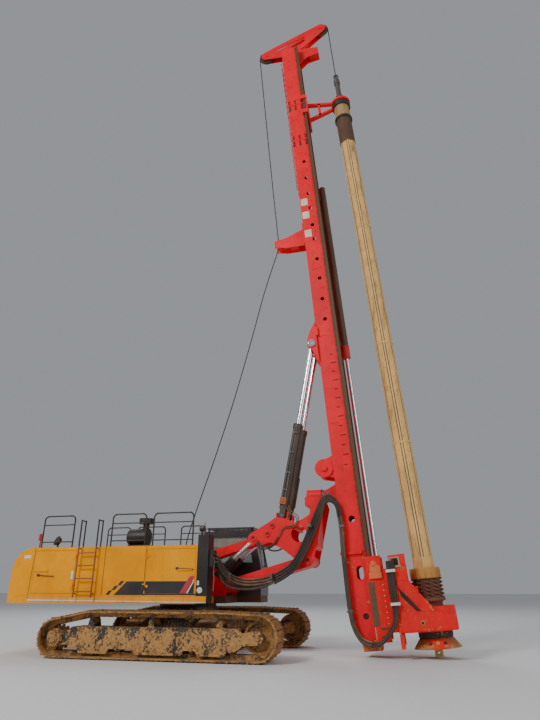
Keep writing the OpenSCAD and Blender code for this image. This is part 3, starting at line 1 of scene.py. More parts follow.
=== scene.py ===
import json
import math
import bmesh
import bpy
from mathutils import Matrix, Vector


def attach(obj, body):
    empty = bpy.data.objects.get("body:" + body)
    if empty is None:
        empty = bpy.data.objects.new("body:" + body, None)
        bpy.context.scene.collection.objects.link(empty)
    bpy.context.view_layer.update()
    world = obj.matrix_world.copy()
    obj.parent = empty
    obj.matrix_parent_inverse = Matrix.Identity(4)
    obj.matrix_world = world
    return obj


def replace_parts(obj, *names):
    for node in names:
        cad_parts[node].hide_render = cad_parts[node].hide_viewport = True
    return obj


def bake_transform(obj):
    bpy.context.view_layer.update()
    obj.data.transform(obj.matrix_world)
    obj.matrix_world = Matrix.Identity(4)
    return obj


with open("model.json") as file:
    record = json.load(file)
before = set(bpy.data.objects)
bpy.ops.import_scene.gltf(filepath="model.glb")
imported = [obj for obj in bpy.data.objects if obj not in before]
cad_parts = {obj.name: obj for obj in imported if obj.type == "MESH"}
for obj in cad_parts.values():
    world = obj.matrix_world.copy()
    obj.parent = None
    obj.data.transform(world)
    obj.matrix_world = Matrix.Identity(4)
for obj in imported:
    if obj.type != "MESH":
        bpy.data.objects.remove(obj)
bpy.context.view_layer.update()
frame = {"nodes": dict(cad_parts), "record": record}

# Camera: it stands on the ground a little behind the drive, on the machine's right side, and
# looks up along the mast. Places on the machine are counted from its slew axis, a record's joint.
joints = {joint["name"]: joint for joint in frame["record"]["behaviour"]["joints"]}
slew_x = joints["slew"]["pos_m"][0]


def at(x, y, z):
    """A point counted from the slew axis."""
    return Vector((x + slew_x, y, z))


PHOTO_HEIGHT, FOCAL_PIXELS = 720, 541
EYE_TILT, EYE_PAN = 22.94, 13.4
SENSOR = 24
eye_data = bpy.data.cameras.new("photo_eye")
eye_data.sensor_fit = "VERTICAL"
eye_data.sensor_height = SENSOR
eye_data.lens = SENSOR * FOCAL_PIXELS / PHOTO_HEIGHT
eye_data.clip_end = 500
eye = bpy.data.objects.new("photo_eye", eye_data)
eye.location = at(6.2, -15.95, 1.6)
eye.rotation_euler = (math.radians(90 + EYE_TILT), 0, math.radians(EYE_PAN))
bpy.context.scene.collection.objects.link(eye)
bpy.context.scene.camera = eye

# Track frames and car body: welded plate, sprayed black, caked with dried mud to the axles.
# The finish helpers are first needed here, so every later paint is mixed by them.


def feed(tree, socket, value):
    """Links another node's output to an input, or sets the input to a value."""
    if isinstance(value, bpy.types.NodeSocket):
        tree.links.new(value, socket)
    else:
        socket.default_value = value


def add_node(tree, kind, inputs=None, **settings):
    """A shader node with its settings, and its inputs as values or other nodes' outputs."""
    node = tree.nodes.new("ShaderNode" + kind)
    for key, value in settings.items():
        setattr(node, key, value)
    for key, value in (inputs or {}).items():
        feed(tree, node.inputs[key], value)
    return node


def mixed(tree, share, low, high):
    """A colour between two, by a share from 0 to 1."""
    node = add_node(tree, "Mix", {0: share}, data_type="RGBA")
    for key, colour in ((6, low), (7, high)):
        feed(tree, node.inputs[key], (*colour, 1.0) if isinstance(colour, tuple) else colour)
    return node.outputs[2]


def ramp(tree, value, low, high, start=0.0, end=1.0):
    """A share that runs from start to end while the value runs from low to high."""
    node = add_node(tree, "MapRange", {
        "Value": value, "From Min": low, "From Max": high, "To Min": start, "To Max": end}, clamp=True)
    return node.outputs[0]


def spots(tree, place, size, low, high, detail=6, stretch=(1, 1, 1)):
    """Cloudy patches of about one size in metres, from 0 under low to 1 over high."""
    scaled = add_node(tree, "Mapping", {"Vector": place, "Scale": stretch})
    cloud = add_node(tree, "TexNoise", {
        "Vector": scaled.outputs[0], "Scale": 1 / size, "Detail": detail, "Roughness": 0.62})
    return ramp(tree, cloud.outputs[0], low, high)


def sums(tree, operation, *values, clamp=True):
    """Arithmetic on up to three values, kept between 0 and 1 unless clamp is off."""
    node = add_node(tree, "Math", dict(enumerate(values)), operation=operation, use_clamp=clamp)
    return node.outputs[0]


def product(tree, *values):
    """Two shares multiplied."""
    return sums(tree, "MULTIPLY", *values)


def reach(tree, place, axis):
    """How far a place lies along an axis."""
    return add_node(tree, "VectorMath", {0: place, 1: axis}, operation="DOT_PRODUCT").outputs["Value"]


def edges(tree, width):
    """1 along sharp edges within a width in metres, 0 on flat faces."""
    soft = add_node(tree, "Bevel", {"Radius": width}, samples=4)
    flat = add_node(tree, "NewGeometry")
    return ramp(tree, reach(tree, soft.outputs[0], flat.outputs["Normal"]), 0.995, 0.9)


MUD = (0.60, 0.31, 0.10)
DUST = (0.50, 0.34, 0.19)


def weathered(name, colour, worn, rough=0.42, metal=0.0, coat=0.0, chips=0.35, dust=0.25,
              mud_to=None, grime=(0.02, 0.016, 0.012), grime_share=0.35, round_edges=0.008,
              streaks=0.5, pitting=0.15, bands=None, gleam=0.5):
    """Paint or metal with faded patches, chipped edges, run-off, dust on top and mud below.

    bands is an axis and a list of (where it starts along the axis, colour from there on), and it
    may end with (a cross axis, half width) of the middle strip that keeps the first colour."""
    material = bpy.data.materials.new(name)
    material.use_nodes = True
    tree = material.node_tree
    surface = tree.nodes["Principled BSDF"].inputs
    place = add_node(tree, "TexCoord").outputs["Object"]
    face = add_node(tree, "NewGeometry")
    faded = spots(tree, place, 0.9, 0.35, 0.7)
    tone = mixed(tree, faded, tuple(c * 0.82 for c in colour), tuple(min(1, c * 1.1) for c in colour))
    if bands:
        axis, starts, *strip = bands
        unbanded = tone
        ragged = sums(tree, "MULTIPLY_ADD", spots(tree, place, 0.08, 0.3, 0.7), 0.06,
                      reach(tree, place, axis), clamp=False)
        for start, colour_above in starts:
            tone = mixed(tree, ramp(tree, ragged, start, start + 0.03), tone, colour_above)
        for cross_axis, half_width in strip:
            away = sums(tree, "ABSOLUTE", reach(tree, place, cross_axis), clamp=False)
            tone = mixed(tree, ramp(tree, away, half_width, half_width + 0.01), unbanded, tone)
    runs = spots(tree, place, 0.12, 0.52, 0.75, 5, (1, 1, 0.12))
    tone = mixed(tree, product(tree, runs, grime_share * streaks), tone, grime)
    smudge = spots(tree, place, 0.35, 0.55, 0.8, 8)
    tone = mixed(tree, product(tree, smudge, grime_share), tone, grime)
    broken = spots(tree, place, 0.035, 0.42, 0.6, 4)
    rim = product(tree, edges(tree, round_edges * 1.6), broken)
    flecks = spots(tree, place, 0.05, 0.69, 0.74, 3)
    tone = mixed(tree, product(tree, sums(tree, "ADD", rim, flecks), chips), tone, worn)
    split = add_node(tree, "SeparateXYZ", {0: face.outputs["Normal"]})
    upward = ramp(tree, split.outputs[2], 0.3, 1.0, 0.0, dust)
    powder = product(tree, upward, spots(tree, place, 0.25, 0.3, 0.65))
    haze = product(tree, spots(tree, place, 1.6, 0.4, 0.75), dust * 0.35)
    cover = sums(tree, "ADD", powder, haze)
    tone = mixed(tree, cover, tone, DUST)
    if mud_to is not None:
        height = add_node(tree, "SeparateXYZ", {0: place}).outputs[2]
        low_down = ramp(tree, height, mud_to, mud_to * 0.35)
        clods = sums(tree, "ADD", spots(tree, place, 0.30, 0.3, 0.7, 8),
                     spots(tree, place, 0.06, 0.3, 0.7, 4), clamp=False)
        caked = ramp(tree, sums(tree, "MULTIPLY_ADD", low_down, 0.6, clods, clamp=False), 1.40, 1.52)
        earth = mixed(tree, spots(tree, place, 0.05, 0.3, 0.7), tuple(c * 0.55 for c in MUD), MUD)
        tone = mixed(tree, caked, tone, earth)
        cover = sums(tree, "ADD", cover, caked)
    gloss = ramp(tree, cover, 0.0, 0.6, rough, 0.9)
    uneven = sums(tree, "ADD", gloss, product(tree, smudge, 0.18))
    relief = sums(tree, "ADD", product(tree, spots(tree, place, 0.012, 0.3, 0.7), 0.35),
                  product(tree, cover, spots(tree, place, 0.05, 0.3, 0.7, 8)))
    rounded = add_node(tree, "Bevel", {"Radius": round_edges}, samples=4)
    dents = add_node(tree, "Bump", {
        "Height": relief, "Strength": 0.55, "Distance": 0.004 + pitting * 0.02,
        "Normal": rounded.outputs[0]})
    for key, value in {"Base Color": tone, "Roughness": uneven, "Metallic": metal,
                       "Specular IOR Level": gleam, "Coat Weight": coat, "Coat Roughness": 0.25,
                       "Normal": dents.outputs[0]}.items():
        feed(tree, surface[key], value)
    return material


def dress(material, *nodes):
    """Gives CAD nodes a finish."""
    for name in nodes:
        mesh = frame["nodes"][name].data
        mesh.materials.clear()
        mesh.materials.append(material)


frame_paint = weathered("frame_black_paint", (0.022, 0.021, 0.022), (0.20, 0.15, 0.11),
                        rough=0.55, dust=0.6, mud_to=1.25, pitting=0.6)
dress(frame_paint, "car_body", "track_frames", "slew_ring")

# Tracks: forged links, pressed shoes with three grousers, cast sprockets, idlers and rollers.
# Steel and mud are the same brown here, polished only where the shoes meet the ground.
track_steel = weathered("muddy_track_steel", (0.10, 0.060, 0.034), (0.40, 0.33, 0.26), rough=0.6,
                        metal=0.2, chips=0.45, dust=0.8, mud_to=3.2, pitting=0.9, round_edges=0.012)
roller_steel = weathered("roller_steel", (0.085, 0.052, 0.032), (0.35, 0.3, 0.26), rough=0.55,
                         metal=0.2, chips=0.4, dust=0.7, mud_to=2.4, pitting=0.7)
dress(track_steel, "track_right", "track_left")
dress(roller_steel, "sprockets", "idlers", "rollers")

# Turntable deck, engine hood, doors and counterweight: folded sheet and one casting, sprayed
# yellow, with black latches. Dust lies on the roof, and rain has run down the sides.
HOOD_YELLOW = (1.0, 0.36, 0.001)
hood_yellow = weathered("hood_yellow_paint", HOOD_YELLOW, (0.30, 0.20, 0.12), rough=0.38,
                        chips=0.2, dust=0.06, grime=(0.34, 0.11, 0.004), grime_share=0.25, gleam=0.08)
deck_paint = weathered("deck_paint", HOOD_YELLOW, (0.25, 0.16, 0.1), rough=0.5, dust=0.5,
                       grime_share=0.35, bands=((1, 0, 0), [(slew_x + 0.96, (0.085, 0.028, 0.012))]))
ladder_paint = weathered("ladder_paint", (0.26, 0.075, 0.012), (0.25, 0.16, 0.1), rough=0.45, dust=0.3,
                         bands=((0, 0, 1), [(2.70, (0.018, 0.018, 0.020))]))
dress(deck_paint, "platform")
dress(ladder_paint, "ladder")
dress(hood_yellow, "engine_hood", "counterweight", "hood_door_right_rear",
      "hood_door_right_front", "hood_door_left")


def joined(name, material, body, slot, *shapes, bevel=0.003):
    """One mesh from lists of points and faces, riding on a CAD body."""
    points, faces = [], []
    for shape_points, shape_faces in shapes:
        start = len(points)
        points += [tuple(point) for point in shape_points]
        faces += [tuple(start + i for i in face) for face in shape_faces]
    mesh = bpy.data.meshes.new(name)
    mesh.from_pydata(points, [], faces)
    whole = bmesh.new()
    whole.from_mesh(mesh)
    bmesh.ops.recalc_face_normals(whole, faces=whole.faces)
    whole.to_mesh(mesh)
    whole.free()
    for face in mesh.polygons:
        face.use_smooth = True
    mesh.set_sharp_from_angle(angle=math.radians(35))
    mesh.materials.append(material)
    thing = bpy.data.objects.new(name, mesh)
    bpy.context.scene.collection.objects.link(thing)
    if bevel:
        rounding = thing.modifiers.new("rounded_edges", "BEVEL")
        rounding.width, rounding.segments, rounding.limit_method = bevel, 2, "ANGLE"
    if body:
        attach(thing, body)
    return thing


def block(place, low, high):
    """A box between two opposite corners, placed by at or on_mast."""
    corners = [place(*(high[i] if n >> i & 1 else low[i] for i in range(3))) for n in range(8)]
    return corners, [(0, 1, 3, 2), (4, 6, 7, 5), (0, 4, 5, 1), (2, 3, 7, 6), (0, 2, 6, 4), (1, 5, 7, 3)]


def walls(count, sides, closed=False):
    """Faces between a count of rings, each to the next, and the last to the first if closed."""
    faces = []
    for i in range(count if closed else count - 1):
        this, following = i * sides, (i + 1) % count * sides
        faces += [(this + k, this + (k + 1) % sides, following + (k + 1) % sides, following + k)
                  for k in range(sides)]
    return faces


def ring(middle, across, turned, r, sides):
    """Points of a circle, by its middle and two directions in its plane."""
    return [middle + (across * math.cos(angle) + turned * math.sin(angle)) * r
            for angle in [2 * math.pi * k / sides for k in range(sides)]]


def plate(place, outline, y0, y1):
    """A flat outline of x and z, or d and u, with its thickness from y0 to y1."""
    n = len(outline)
    points = [place(x, y, z) for y in (y0, y1) for x, z in outline]
    return points, [tuple(range(n)), tuple(range(2 * n - 1, n - 1, -1))] + walls(2, n)


def bar(place, start, end, r, sides=16, tip=None):
    """A round bar or cone between two points."""
    a, b = place(*start), place(*end)
    along = (b - a).normalized()
    across = along.orthogonal().normalized()
    turned = along.cross(across)
    points = ring(a, across, turned, r, sides) + ring(b, across, turned, r if tip is None else tip, sides)
    return points, walls(2, sides) + [tuple(range(sides - 1, -1, -1)), tuple(range(sides, 2 * sides))]


HOOD_SIDE = 1.5
sheet_black = weathered("hood_band_black", (0.02, 0.02, 0.022), (0.3, 0.2, 0.1), rough=0.35,
                        chips=0.3, dust=0.25)
sheet_white = weathered("hood_pale_film", (0.75, 0.73, 0.68), (0.4, 0.35, 0.3), rough=0.4, chips=0.2)
sheet_red = weathered("hood_red_film", (0.55, 0.03, 0.05), (0.4, 0.2, 0.1), rough=0.4, chips=0.2)
# One near-black: painted shade in the gaps between panels and doors and in the counterweight's pockets, and
# the real black of the work lamp, roof louvres and filler caps.
gap_shade_and_black_parts = weathered("hood_gap_shade_and_black_parts", (0.02, 0.018, 0.016), (0.1, 0.08, 0.06), rough=0.8, chips=0)


def on_hood(name, material, *shapes, body="upperstructure", bevel=0.0):
    """A piece that is fixed to the hood, the counterweight or one of the doors."""
    return joined(name, material, body, "hood_paint", *shapes, bevel=bevel)


def film(side, outline, proud=0.003):
    """A skin on the hood's right side, -1, or left side, 1."""
    return plate(at, outline, side * HOOD_SIDE, side * (HOOD_SIDE + proud))


def pad(side, x0, z0, x1, z1, proud, under=0.0):
    """A rectangle on the hood's side, from under the sheet's face to proud of it."""
    low, high = sorted((side * (HOOD_SIDE - under), side * (HOOD_SIDE + proud)))
    return block(at, (x0, low, z0), (x1, high, z1))


diamonds = [[(x + k * 0.165, z + k * 0.118)
             for x, z in ((-1.81, 1.455), (-1.72, 1.565), (-1.62, 1.565), (-1.71, 1.455))]
            for k in range(3)]
rear_band = [(-1.57, 1.45), (-1.22, 1.79), (-0.705, 1.79), (-0.705, 1.45)]
sill_band = [(-0.705, 1.45), (-0.705, 1.488), (0.765, 1.488), (0.765, 1.45)]
on_hood("hood_band", sheet_black, *[film(-1, outline) for outline in [rear_band, sill_band] + diamonds])
on_hood("door_band", sheet_black,
        film(-1, [(-0.672, 1.496), (-0.672, 1.79), (0.712, 1.79), (0.712, 1.496)]),
        pad(-1, -0.745, 1.58, -0.66, 1.68, 0.031), body="front_right_door")
on_hood("door_red_slash", sheet_red,
        film(-1, [(0.315, 1.496), (0.585, 1.91), (0.712, 1.91), (0.712, 1.88), (0.487, 1.496)], 0.004),
        body="front_right_door")
on_hood("door_white_slash", sheet_white,
        film(-1, [(0.505, 1.496), (0.700, 1.83), (0.712, 1.83), (0.712, 1.78), (0.545, 1.496)], 0.005),
        body="front_right_door")
# Dark strips of painted shade in the gaps between the hood's panels, doors and counterweight.
seams = [pad(-1, x - 0.007, 1.43, x + 0.007, 2.69, 0.002, 0.002) for x in (-1.94, -0.71, 0.775)]
seams.append(plate(at, [(-4.215, 1.36), (-4.20, 1.36), (-4.155, 2.69), (-4.17, 2.69)],
                   -HOOD_SIDE - 0.002, -HOOD_SIDE + 0.002))
on_hood("hood_gap_shade", gap_shade_and_black_parts, *seams)
on_hood("hood_pale_edge", sheet_white,
        film(-1, [(-4.19, 1.335), (1.06, 1.285), (1.06, 1.262), (-4.19, 1.30)], 0.012))
on_hood("hood_sill", hood_yellow, pad(-1, 0.772, 1.262, 1.06, 1.425, 0.008),
        pad(-1, -4.63, 1.418, 0.772, 1.432, 0.006), bevel=0.003)
on_hood("tail_reflector", sheet_white, pad(-1, -4.50, 2.41, -4.28, 2.49, 0.003), bevel=0.003)
on_hood("door_reflector", sheet_white, pad(-1, -2.93, 1.86, -2.86, 2.07, 0.004),
        body="rear_right_door", bevel=0.003)


def latch(body, side, x0, z0, x1, z1):
    """A door's long latch on its back plate."""
    lever = bar(at, (x0, side * 1.522, z0), (x1, side * 1.522, z1), 0.011, 8)
    on_hood("latch_" + body, sheet_black, lever,
            pad(side, x0 - 0.02, z0 - 0.03, x0 + 0.05, z0 + 0.03, 0.03, 0.001), body=body, bevel=0.003)


latch("rear_right_door", -1, -3.97, 1.96, -3.45, 1.925)
latch("front_right_door", -1, 0.20, 2.11, 0.68, 2.085)
lamp_red = weathered("red_lamp_lens", (0.60, 0.008, 0.010), (0.3, 0.05, 0.04), rough=0.25, coat=0.4,
                     chips=0.1, dust=0.15)
on_hood("rear_marker_lamp", lamp_red,
        bar(at, (-4.20, -1.30, 2.90), (-4.20, -1.30, 3.09), 0.065, 18, 0.055),
        bar(at, (-4.20, -1.30, 2.69), (-4.20, -1.30, 2.92), 0.02, 10), bevel=0.003)
on_hood("roof_work_lamp", gap_shade_and_black_parts,
        bar(at, (-3.66, -1.30, 2.90), (-3.62, -1.22, 2.86), 0.140, 24, 0.10),
        bar(at, (-3.66, -1.22, 2.69), (-3.66, -1.22, 2.80), 0.025, 10), bevel=0.003)
ROOF = 2.69
roof_vents = []
for x in (-3.35, -2.95, -2.55, -2.15):
    roof_vents += [block(at, (x, -0.45, ROOF), (x + 0.30, 0.45, ROOF + 0.015))]
    roof_vents += [block(at, (x + 0.02 + k * 0.045, -0.42, ROOF + 0.01),
                         (x + 0.04 + k * 0.045, 0.42, ROOF + 0.032)) for k in range(6)]
on_hood("roof_louvres", gap_shade_and_black_parts, *roof_vents)

# The hood's left side, the counterweight's rear and the roof: the same skins without the right
# door, a louvred panel of folded sheet for the radiator, tail lamps, the casting's lifting
# pockets, drawn as dark patches of painted shade, and its blank plate, and the roof's hatch gaps,
# drawn as dark strips of painted shade, with two filler caps.
left_band = [(-1.57, 1.45), (-1.22, 1.79), (0.14, 1.79), (0.14, 1.45)]
on_hood("left_hood_band", sheet_black, *[film(1, outline) for outline in [left_band] + diamonds],
        pad(1, -2.02, 1.93, -0.50, 2.47, 0.003))
on_hood("left_red_slash", sheet_red,
        film(1, [(-0.285, 1.45), (0.0, 1.91), (0.14, 1.91), (0.14, 1.88), (-0.113, 1.45)], 0.004))
on_hood("left_white_slash", sheet_white,
        film(1, [(-0.095, 1.45), (0.128, 1.83), (0.14, 1.83), (0.14, 1.78), (-0.055, 1.45)], 0.005))
radiator_slats = [film(1, [(x, z), (x + 0.68, z), (x + 0.68, z + 0.018), (x, z + 0.018)], 0.016)
                  for x in (-1.98, -1.22) for z in [1.955 + k * 0.036 for k in range(14)]]
on_hood("radiator_louvres", hood_yellow, *radiator_slats, bevel=0.003)
# The left door's outline and the panel joints: dark strips of painted shade in the gaps.
left_gaps = [(x - 0.006, 1.43, x + 0.006, 2.69) for x in (-4.19, -2.16)]
left_gaps += [(x - 0.005, 1.485, x + 0.005, 2.605) for x in (-3.708, -2.292)]
left_gaps += [(-3.708, z, -2.292, z + 0.009) for z in (1.481, 2.604)]
on_hood("left_door_gap_shade", gap_shade_and_black_parts, *[pad(1, *gap, 0.003, 0.002) for gap in left_gaps])
latch("left_door", 1, -3.60, 2.02, -3.12, 1.99)
REAR = -4.84


def on_rear(y0, z0, y1, z1, proud, under=0.0):
    """A rectangle on the counterweight's rear, from under its face to proud of it."""
    return block(at, (REAR - proud, y0, z0), (REAR + under, y1, z1))


# The lifting pockets and the joints across the rear are dark patches and strips of painted shade.
rear_pocket_shade = [on_rear(y - 0.10, 2.0, y + 0.10, 2.07, 0.004, 0.01) for y in (-0.9, 0.9)]
rear_pocket_shade += [bar(at, (REAR - 0.004, y, 1.72), (REAR + 0.01, y, 1.72), 0.055, 24) for y in (-0.9, 0.9)]
rear_pocket_shade += [on_rear(-1.5, 1.395, 1.5, 1.405, 0.002, 0.01)]
rear_pocket_shade += [on_rear(y - 0.005, 1.40, y + 0.005, 2.09, 0.002, 0.01) for y in (-0.55, 0.55)]
on_hood("rear_pocket_and_joint_shade", gap_shade_and_black_parts, *rear_pocket_shade)
TAIL_YS = (-1.25, 1.25)
on_hood("rear_lamp_boxes", sheet_black,
        *[on_rear(y - 0.15, 1.50, y + 0.15, 1.60, 0.022, 0.01) for y in TAIL_YS], bevel=0.003)
on_hood("rear_lamps", lamp_red, *[on_rear(y - 0.13, 1.515, y + 0.01, 1.585, 0.030) for y in TAIL_YS],
        bevel=0.003)
on_hood("rear_reflectors", sheet_white,
        *[on_rear(y + 0.03, 1.515, y + 0.13, 1.585, 0.026) for y in TAIL_YS],
        on_rear(-0.24, 1.66, 0.24, 1.80, 0.004), bevel=0.003)
# The roof's hatch gaps are dark strips of painted shade; the two discs are real filler caps.
roof_gap_shade_and_caps = [block(at, (x0, y0, ROOF), (x1, y1, ROOF + 0.009)) for x0, y0, x1, y1 in (
    (-3.905, -0.95, -3.895, 0.95), (-1.905, -0.95, -1.895, 0.62), (-3.9, -0.955, -1.9, -0.945),
    (-3.9, 0.945, -1.9, 0.955), (-0.71, -1.44, -0.70, -0.66))]
roof_gap_shade_and_caps += [block(at, (x0, -1.30, ROOF), (x1, -1.12, ROOF + 0.008)) for x0, x1 in (
    (-3.75, -2.9), (-1.6, -0.75), (-0.55, 0.7))]
roof_gap_shade_and_caps += [bar(at, (x, y, ROOF), (x, y, ROOF + 0.03), 0.07, 24)
               for x, y in ((-0.25, -0.95), (-4.1, 1.1))]
on_hood("roof_gap_shade_and_caps", gap_shade_and_black_parts, *roof_gap_shade_and_caps)

# Engine: a cast block, greasy and dark, bolted down inside the hood. It shows only through open
# doors, so it stays one plain piece.
engine_iron = weathered("engine_iron", (0.05, 0.05, 0.052), (0.2, 0.16, 0.12), rough=0.6, metal=0.2)
dress(engine_iron, "engine_block")

# Handrails, air cleaner and the dark box at the hood's front: steel tube and sheet, sprayed black.
# Each rail is one tube bent over two posts, with two cross rails, welded to round feet.
rail_paint = weathered("rail_black_paint", (0.012, 0.010, 0.009), (0.22, 0.17, 0.13), rough=0.38,
                       chips=0.2, dust=0.2)
dress(rail_paint, "air_cleaner", "front_box")


def smooth(stops, steps):
    """Points on a smooth curve through the stops, so many steps from each to the next."""
    line = []
    for k in range(len(stops) - 1):
        a, b = stops[max(k - 1, 0)], stops[k]
        c, d = stops[k + 1], stops[min(k + 2, len(stops) - 1)]
        for step in range(steps + (k == len(stops) - 2)):
            f = step / steps
            line.append(0.5 * (2 * b + (c - a) * f + (2 * a - 5 * b + 4 * c - d) * f * f
                               + (3 * b - a - 3 * c + d) * f ** 3))
    return line


def hose(place, route, r, sides=10, steps=5):
    """A tube along a smooth curve through the route's points."""
    line = smooth([place(*point) for point in route], steps)
    points, across = [], None
    for k, middle in enumerate(line):
        along = (line[min(k + 1, len(line) - 1)] - line[max(k - 1, 0)]).normalized()
        across = along.orthogonal() if across is None else across - along * across.dot(along)
        across = across.normalized()
        points += ring(middle, across, along.cross(across), r, sides)
    last = len(points) - 1
    return points, walls(len(line), sides) + [tuple(range(sides)), tuple(range(last, last - sides, -1))]


def rail_frame(x0, x1, y, height, corner=0.12):
    """A handrail: one tube bent over two posts, two cross rails and a foot under each post."""
    roof, top = 2.695, 2.695 + height
    bend = [(corner * (1 - math.cos(a)), top - corner * (1 - math.sin(a)))
            for a in (0, 0.39, 0.79, 1.18, math.pi / 2)]
    half = [(0, roof), (0, roof + height / 2), (0, top - corner - 0.02)] + bend + [(corner + 0.02, top)]
    tube = [(x0 + dx, y, z) for dx, z in half] + [(x1 - dx, y, z) for dx, z in reversed(half)]
    cross = [bar(at, (x0, y, roof + share * height), (x1, y, roof + share * height), 0.017, 10)
             for share in (0.175, 0.715)]
    feet = [bar(at, (x, y, roof), (x, y, roof + 0.014), 0.05, 16) for x in (x0, x1)]
    return [hose(at, tube, 0.021, 10, 3)] + cross + feet


rails = []
for x0, x1, y, height in (
        (-4.07, -3.08, -1.40, 0.87), (-1.87, -0.84, -1.40, 0.87), (-0.60, 0.57, -1.40, 0.87),
        (-3.53, -2.70, 1.35, 0.80), (-2.45, -1.46, 1.35, 0.80), (-0.90, -0.06, 1.35, 0.80)):
    rails += rail_frame(x0, x1, y, height)
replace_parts(joined("bent_handrails", rail_paint, "upperstructure", "dark_steel", *rails, bevel=0),
            "handrails")
on_hood("blank_box_plates", sheet_white, pad(-1, 0.79, 1.69, 0.85, 1.80, 0.004, 0.001),
        bar(at, (0.87, -1.499, 1.57), (0.87, -1.505, 1.57), 0.075, 28))
dull_zinc = weathered("dull_zinc", (0.42, 0.36, 0.28), (0.2, 0.12, 0.08), rough=0.5, metal=0.4, dust=0.2)
chain_links = []
for k in range(30):
    x, y, z = 1.212 + 0.008 * math.sin(k * 0.4), -1.42 + 0.0015 * k, 2.37 - k * 0.028
    chain_links.append(bar(at, (x, y, z), (x, y, z - 0.015), 0.016 - 0.008 * (k % 2), 8))
joined("lever_chain", dull_zinc, "upperstructure", "dark_steel", *chain_links, bevel=0)
on_hood("marker_whip", lamp_red, bar(at, (0.86, -1.25, 2.90), (0.86, -1.25, 3.28), 0.022, 10, 0.014))

# Cab: pressed steel sprayed black, tinted laminated glass and a moulded seat. The blind hangs
# inside; wiper, roof lamps, mirror and door handle are bolted on.
cab_paint = weathered("cab_black_paint", (0.014, 0.014, 0.016), (0.2, 0.17, 0.14), rough=0.3,
                      coat=0.4, chips=0.15, dust=0.3)
dress(cab_paint, "cab_shell", "cab_door")
glass = bpy.data.materials.new("tinted_cab_glass")
glass.use_nodes = True
glass_tree = glass.node_tree
pane = glass_tree.nodes["Principled BSDF"].inputs
inside = add_node(glass_tree, "TexCoord").outputs["Object"]
smears = spots(glass_tree, inside, 0.3, 0.4, 0.8)
dull_spots = ramp(glass_tree, spots(glass_tree, inside, 0.12, 0.4, 0.8), 0.0, 1.0, 0.04, 0.3)
feed(glass_tree, pane["Base Color"], mixed(glass_tree, smears, (0.64, 0.69, 0.66), (0.74, 0.74, 0.66)))
feed(glass_tree, pane["Roughness"], dull_spots)
feed(glass_tree, pane["Transmission Weight"], 0.85)
feed(glass_tree, pane["IOR"], 1.45)
dress(glass, "cab_glass", "cab_door_glass")


def on_cab(name, material, *shapes, body="upperstructure", bevel=0.003):
    """A piece that is fixed to the cab or its door."""
    return joined(name, material, body, "cab_paint", *shapes, bevel=bevel)


blind_cloth = weathered("sun_blind_cloth", (0.95, 0.82, 0.56), (0.5, 0.4, 0.3), rough=0.8, chips=0)
on_cab("cab_sun_blind", blind_cloth, block(at, (0.36, 0.705, 2.80), (1.50, 0.715, 3.03)), bevel=0)
wiper = [bar(at, (1.976, 1.12, 2.22), (1.966, 1.12, 2.27), 0.02, 12),
         bar(at, (1.975, 1.12, 2.26), (1.862, 1.30, 2.78), 0.009, 8),
         bar(at, (1.905, 1.23, 2.60), (1.822, 1.34, 2.98), 0.014, 8)]
LAMP_YS = (0.80, 1.12, 1.44)
roof_lamps = [block(at, (1.62, y - 0.07, 3.25), (1.72, y + 0.07, 3.35)) for y in LAMP_YS]
on_cab("cab_wiper_and_lamps", rail_paint, *wiper, *roof_lamps)
on_cab("cab_lamp_lenses", sheet_white,
       *[block(at, (1.715, y - 0.055, 3.265), (1.726, y + 0.055, 3.335)) for y in LAMP_YS])
mirror = [bar(at, (1.66, 1.57, z), (1.76, 1.74, z + 0.04), 0.017, 8) for z in (2.62, 2.30)]
on_cab("cab_mirror", rail_paint, *mirror, bar(at, (1.76, 1.74, 2.28), (1.76, 1.74, 2.72), 0.017, 8),
       block(at, (1.73, 1.66, 2.36), (1.765, 1.84, 2.66)), bevel=0.006)
on_cab("cab_door_handle", rail_paint, bar(at, (1.47, 1.625, 1.95), (1.47, 1.625, 2.20), 0.012, 10),
       *[bar(at, (1.47, 1.59, z), (1.47, 1.63, z), 0.010, 8) for z in (1.97, 2.18)],
       body="cab_side_door")
seat_cloth = weathered("seat_cloth", (0.03, 0.03, 0.034), (0.05, 0.05, 0.05), rough=0.85, chips=0,
                       dust=0.2, pitting=0.6)
dress(seat_cloth, "operator_seat")

# Arms, triangle frame and mast: welded high-strength plate under one red topcoat, chipped at
# the edges, greased round the pins.
MAST_RED, RED_WORN = (0.92, 0.005, 0.016), (0.22, 0.06, 0.04)
topcoat = {"rough": 0.4, "chips": 0.3, "grime": (0.16, 0.008, 0.012), "gleam": 0.3}
mast_red = weathered("mast_red_paint", MAST_RED, RED_WORN, dust=0.05, grime_share=0.3, **topcoat)
dress(mast_red, "arm_brackets", "lower_arm", "upper_link", "triangle_frame", "mast_brackets",
      "mast_head", "rope_bracket", "aux_winch_drum")
pivot = Vector(joints["mast_rake"]["pos_m"])
mast_up = Vector(joints["crowd"]["axis"])
mast_ahead = Vector((mast_up.z, 0, -mast_up.x))
greasy_rails = (tuple(mast_ahead), [(pivot.dot(mast_ahead) + 0.845, (0.115, 0.060, 0.028))],
                ((0, 1, 0), 0.325))
box_red = weathered("mast_box_red_paint", MAST_RED, RED_WORN, dust=0.05, grime_share=0.3,
                    bands=greasy_rails, **topcoat)
foot_red = weathered("mast_foot_red_paint", MAST_RED, RED_WORN, dust=0.08, mud_to=0.5,
                     bands=greasy_rails, **topcoat)
dress(box_red, "mast_upper")
dress(foot_red, "mast_lower")


def bolt(place, x, y, z, r=0.016, proud=0.012):
    """A hexagon head on a side plate at y; it stands proud to the outside."""
    return bar(place, (x, y, z), (x, y + math.copysign(proud, y), z), r, 6)


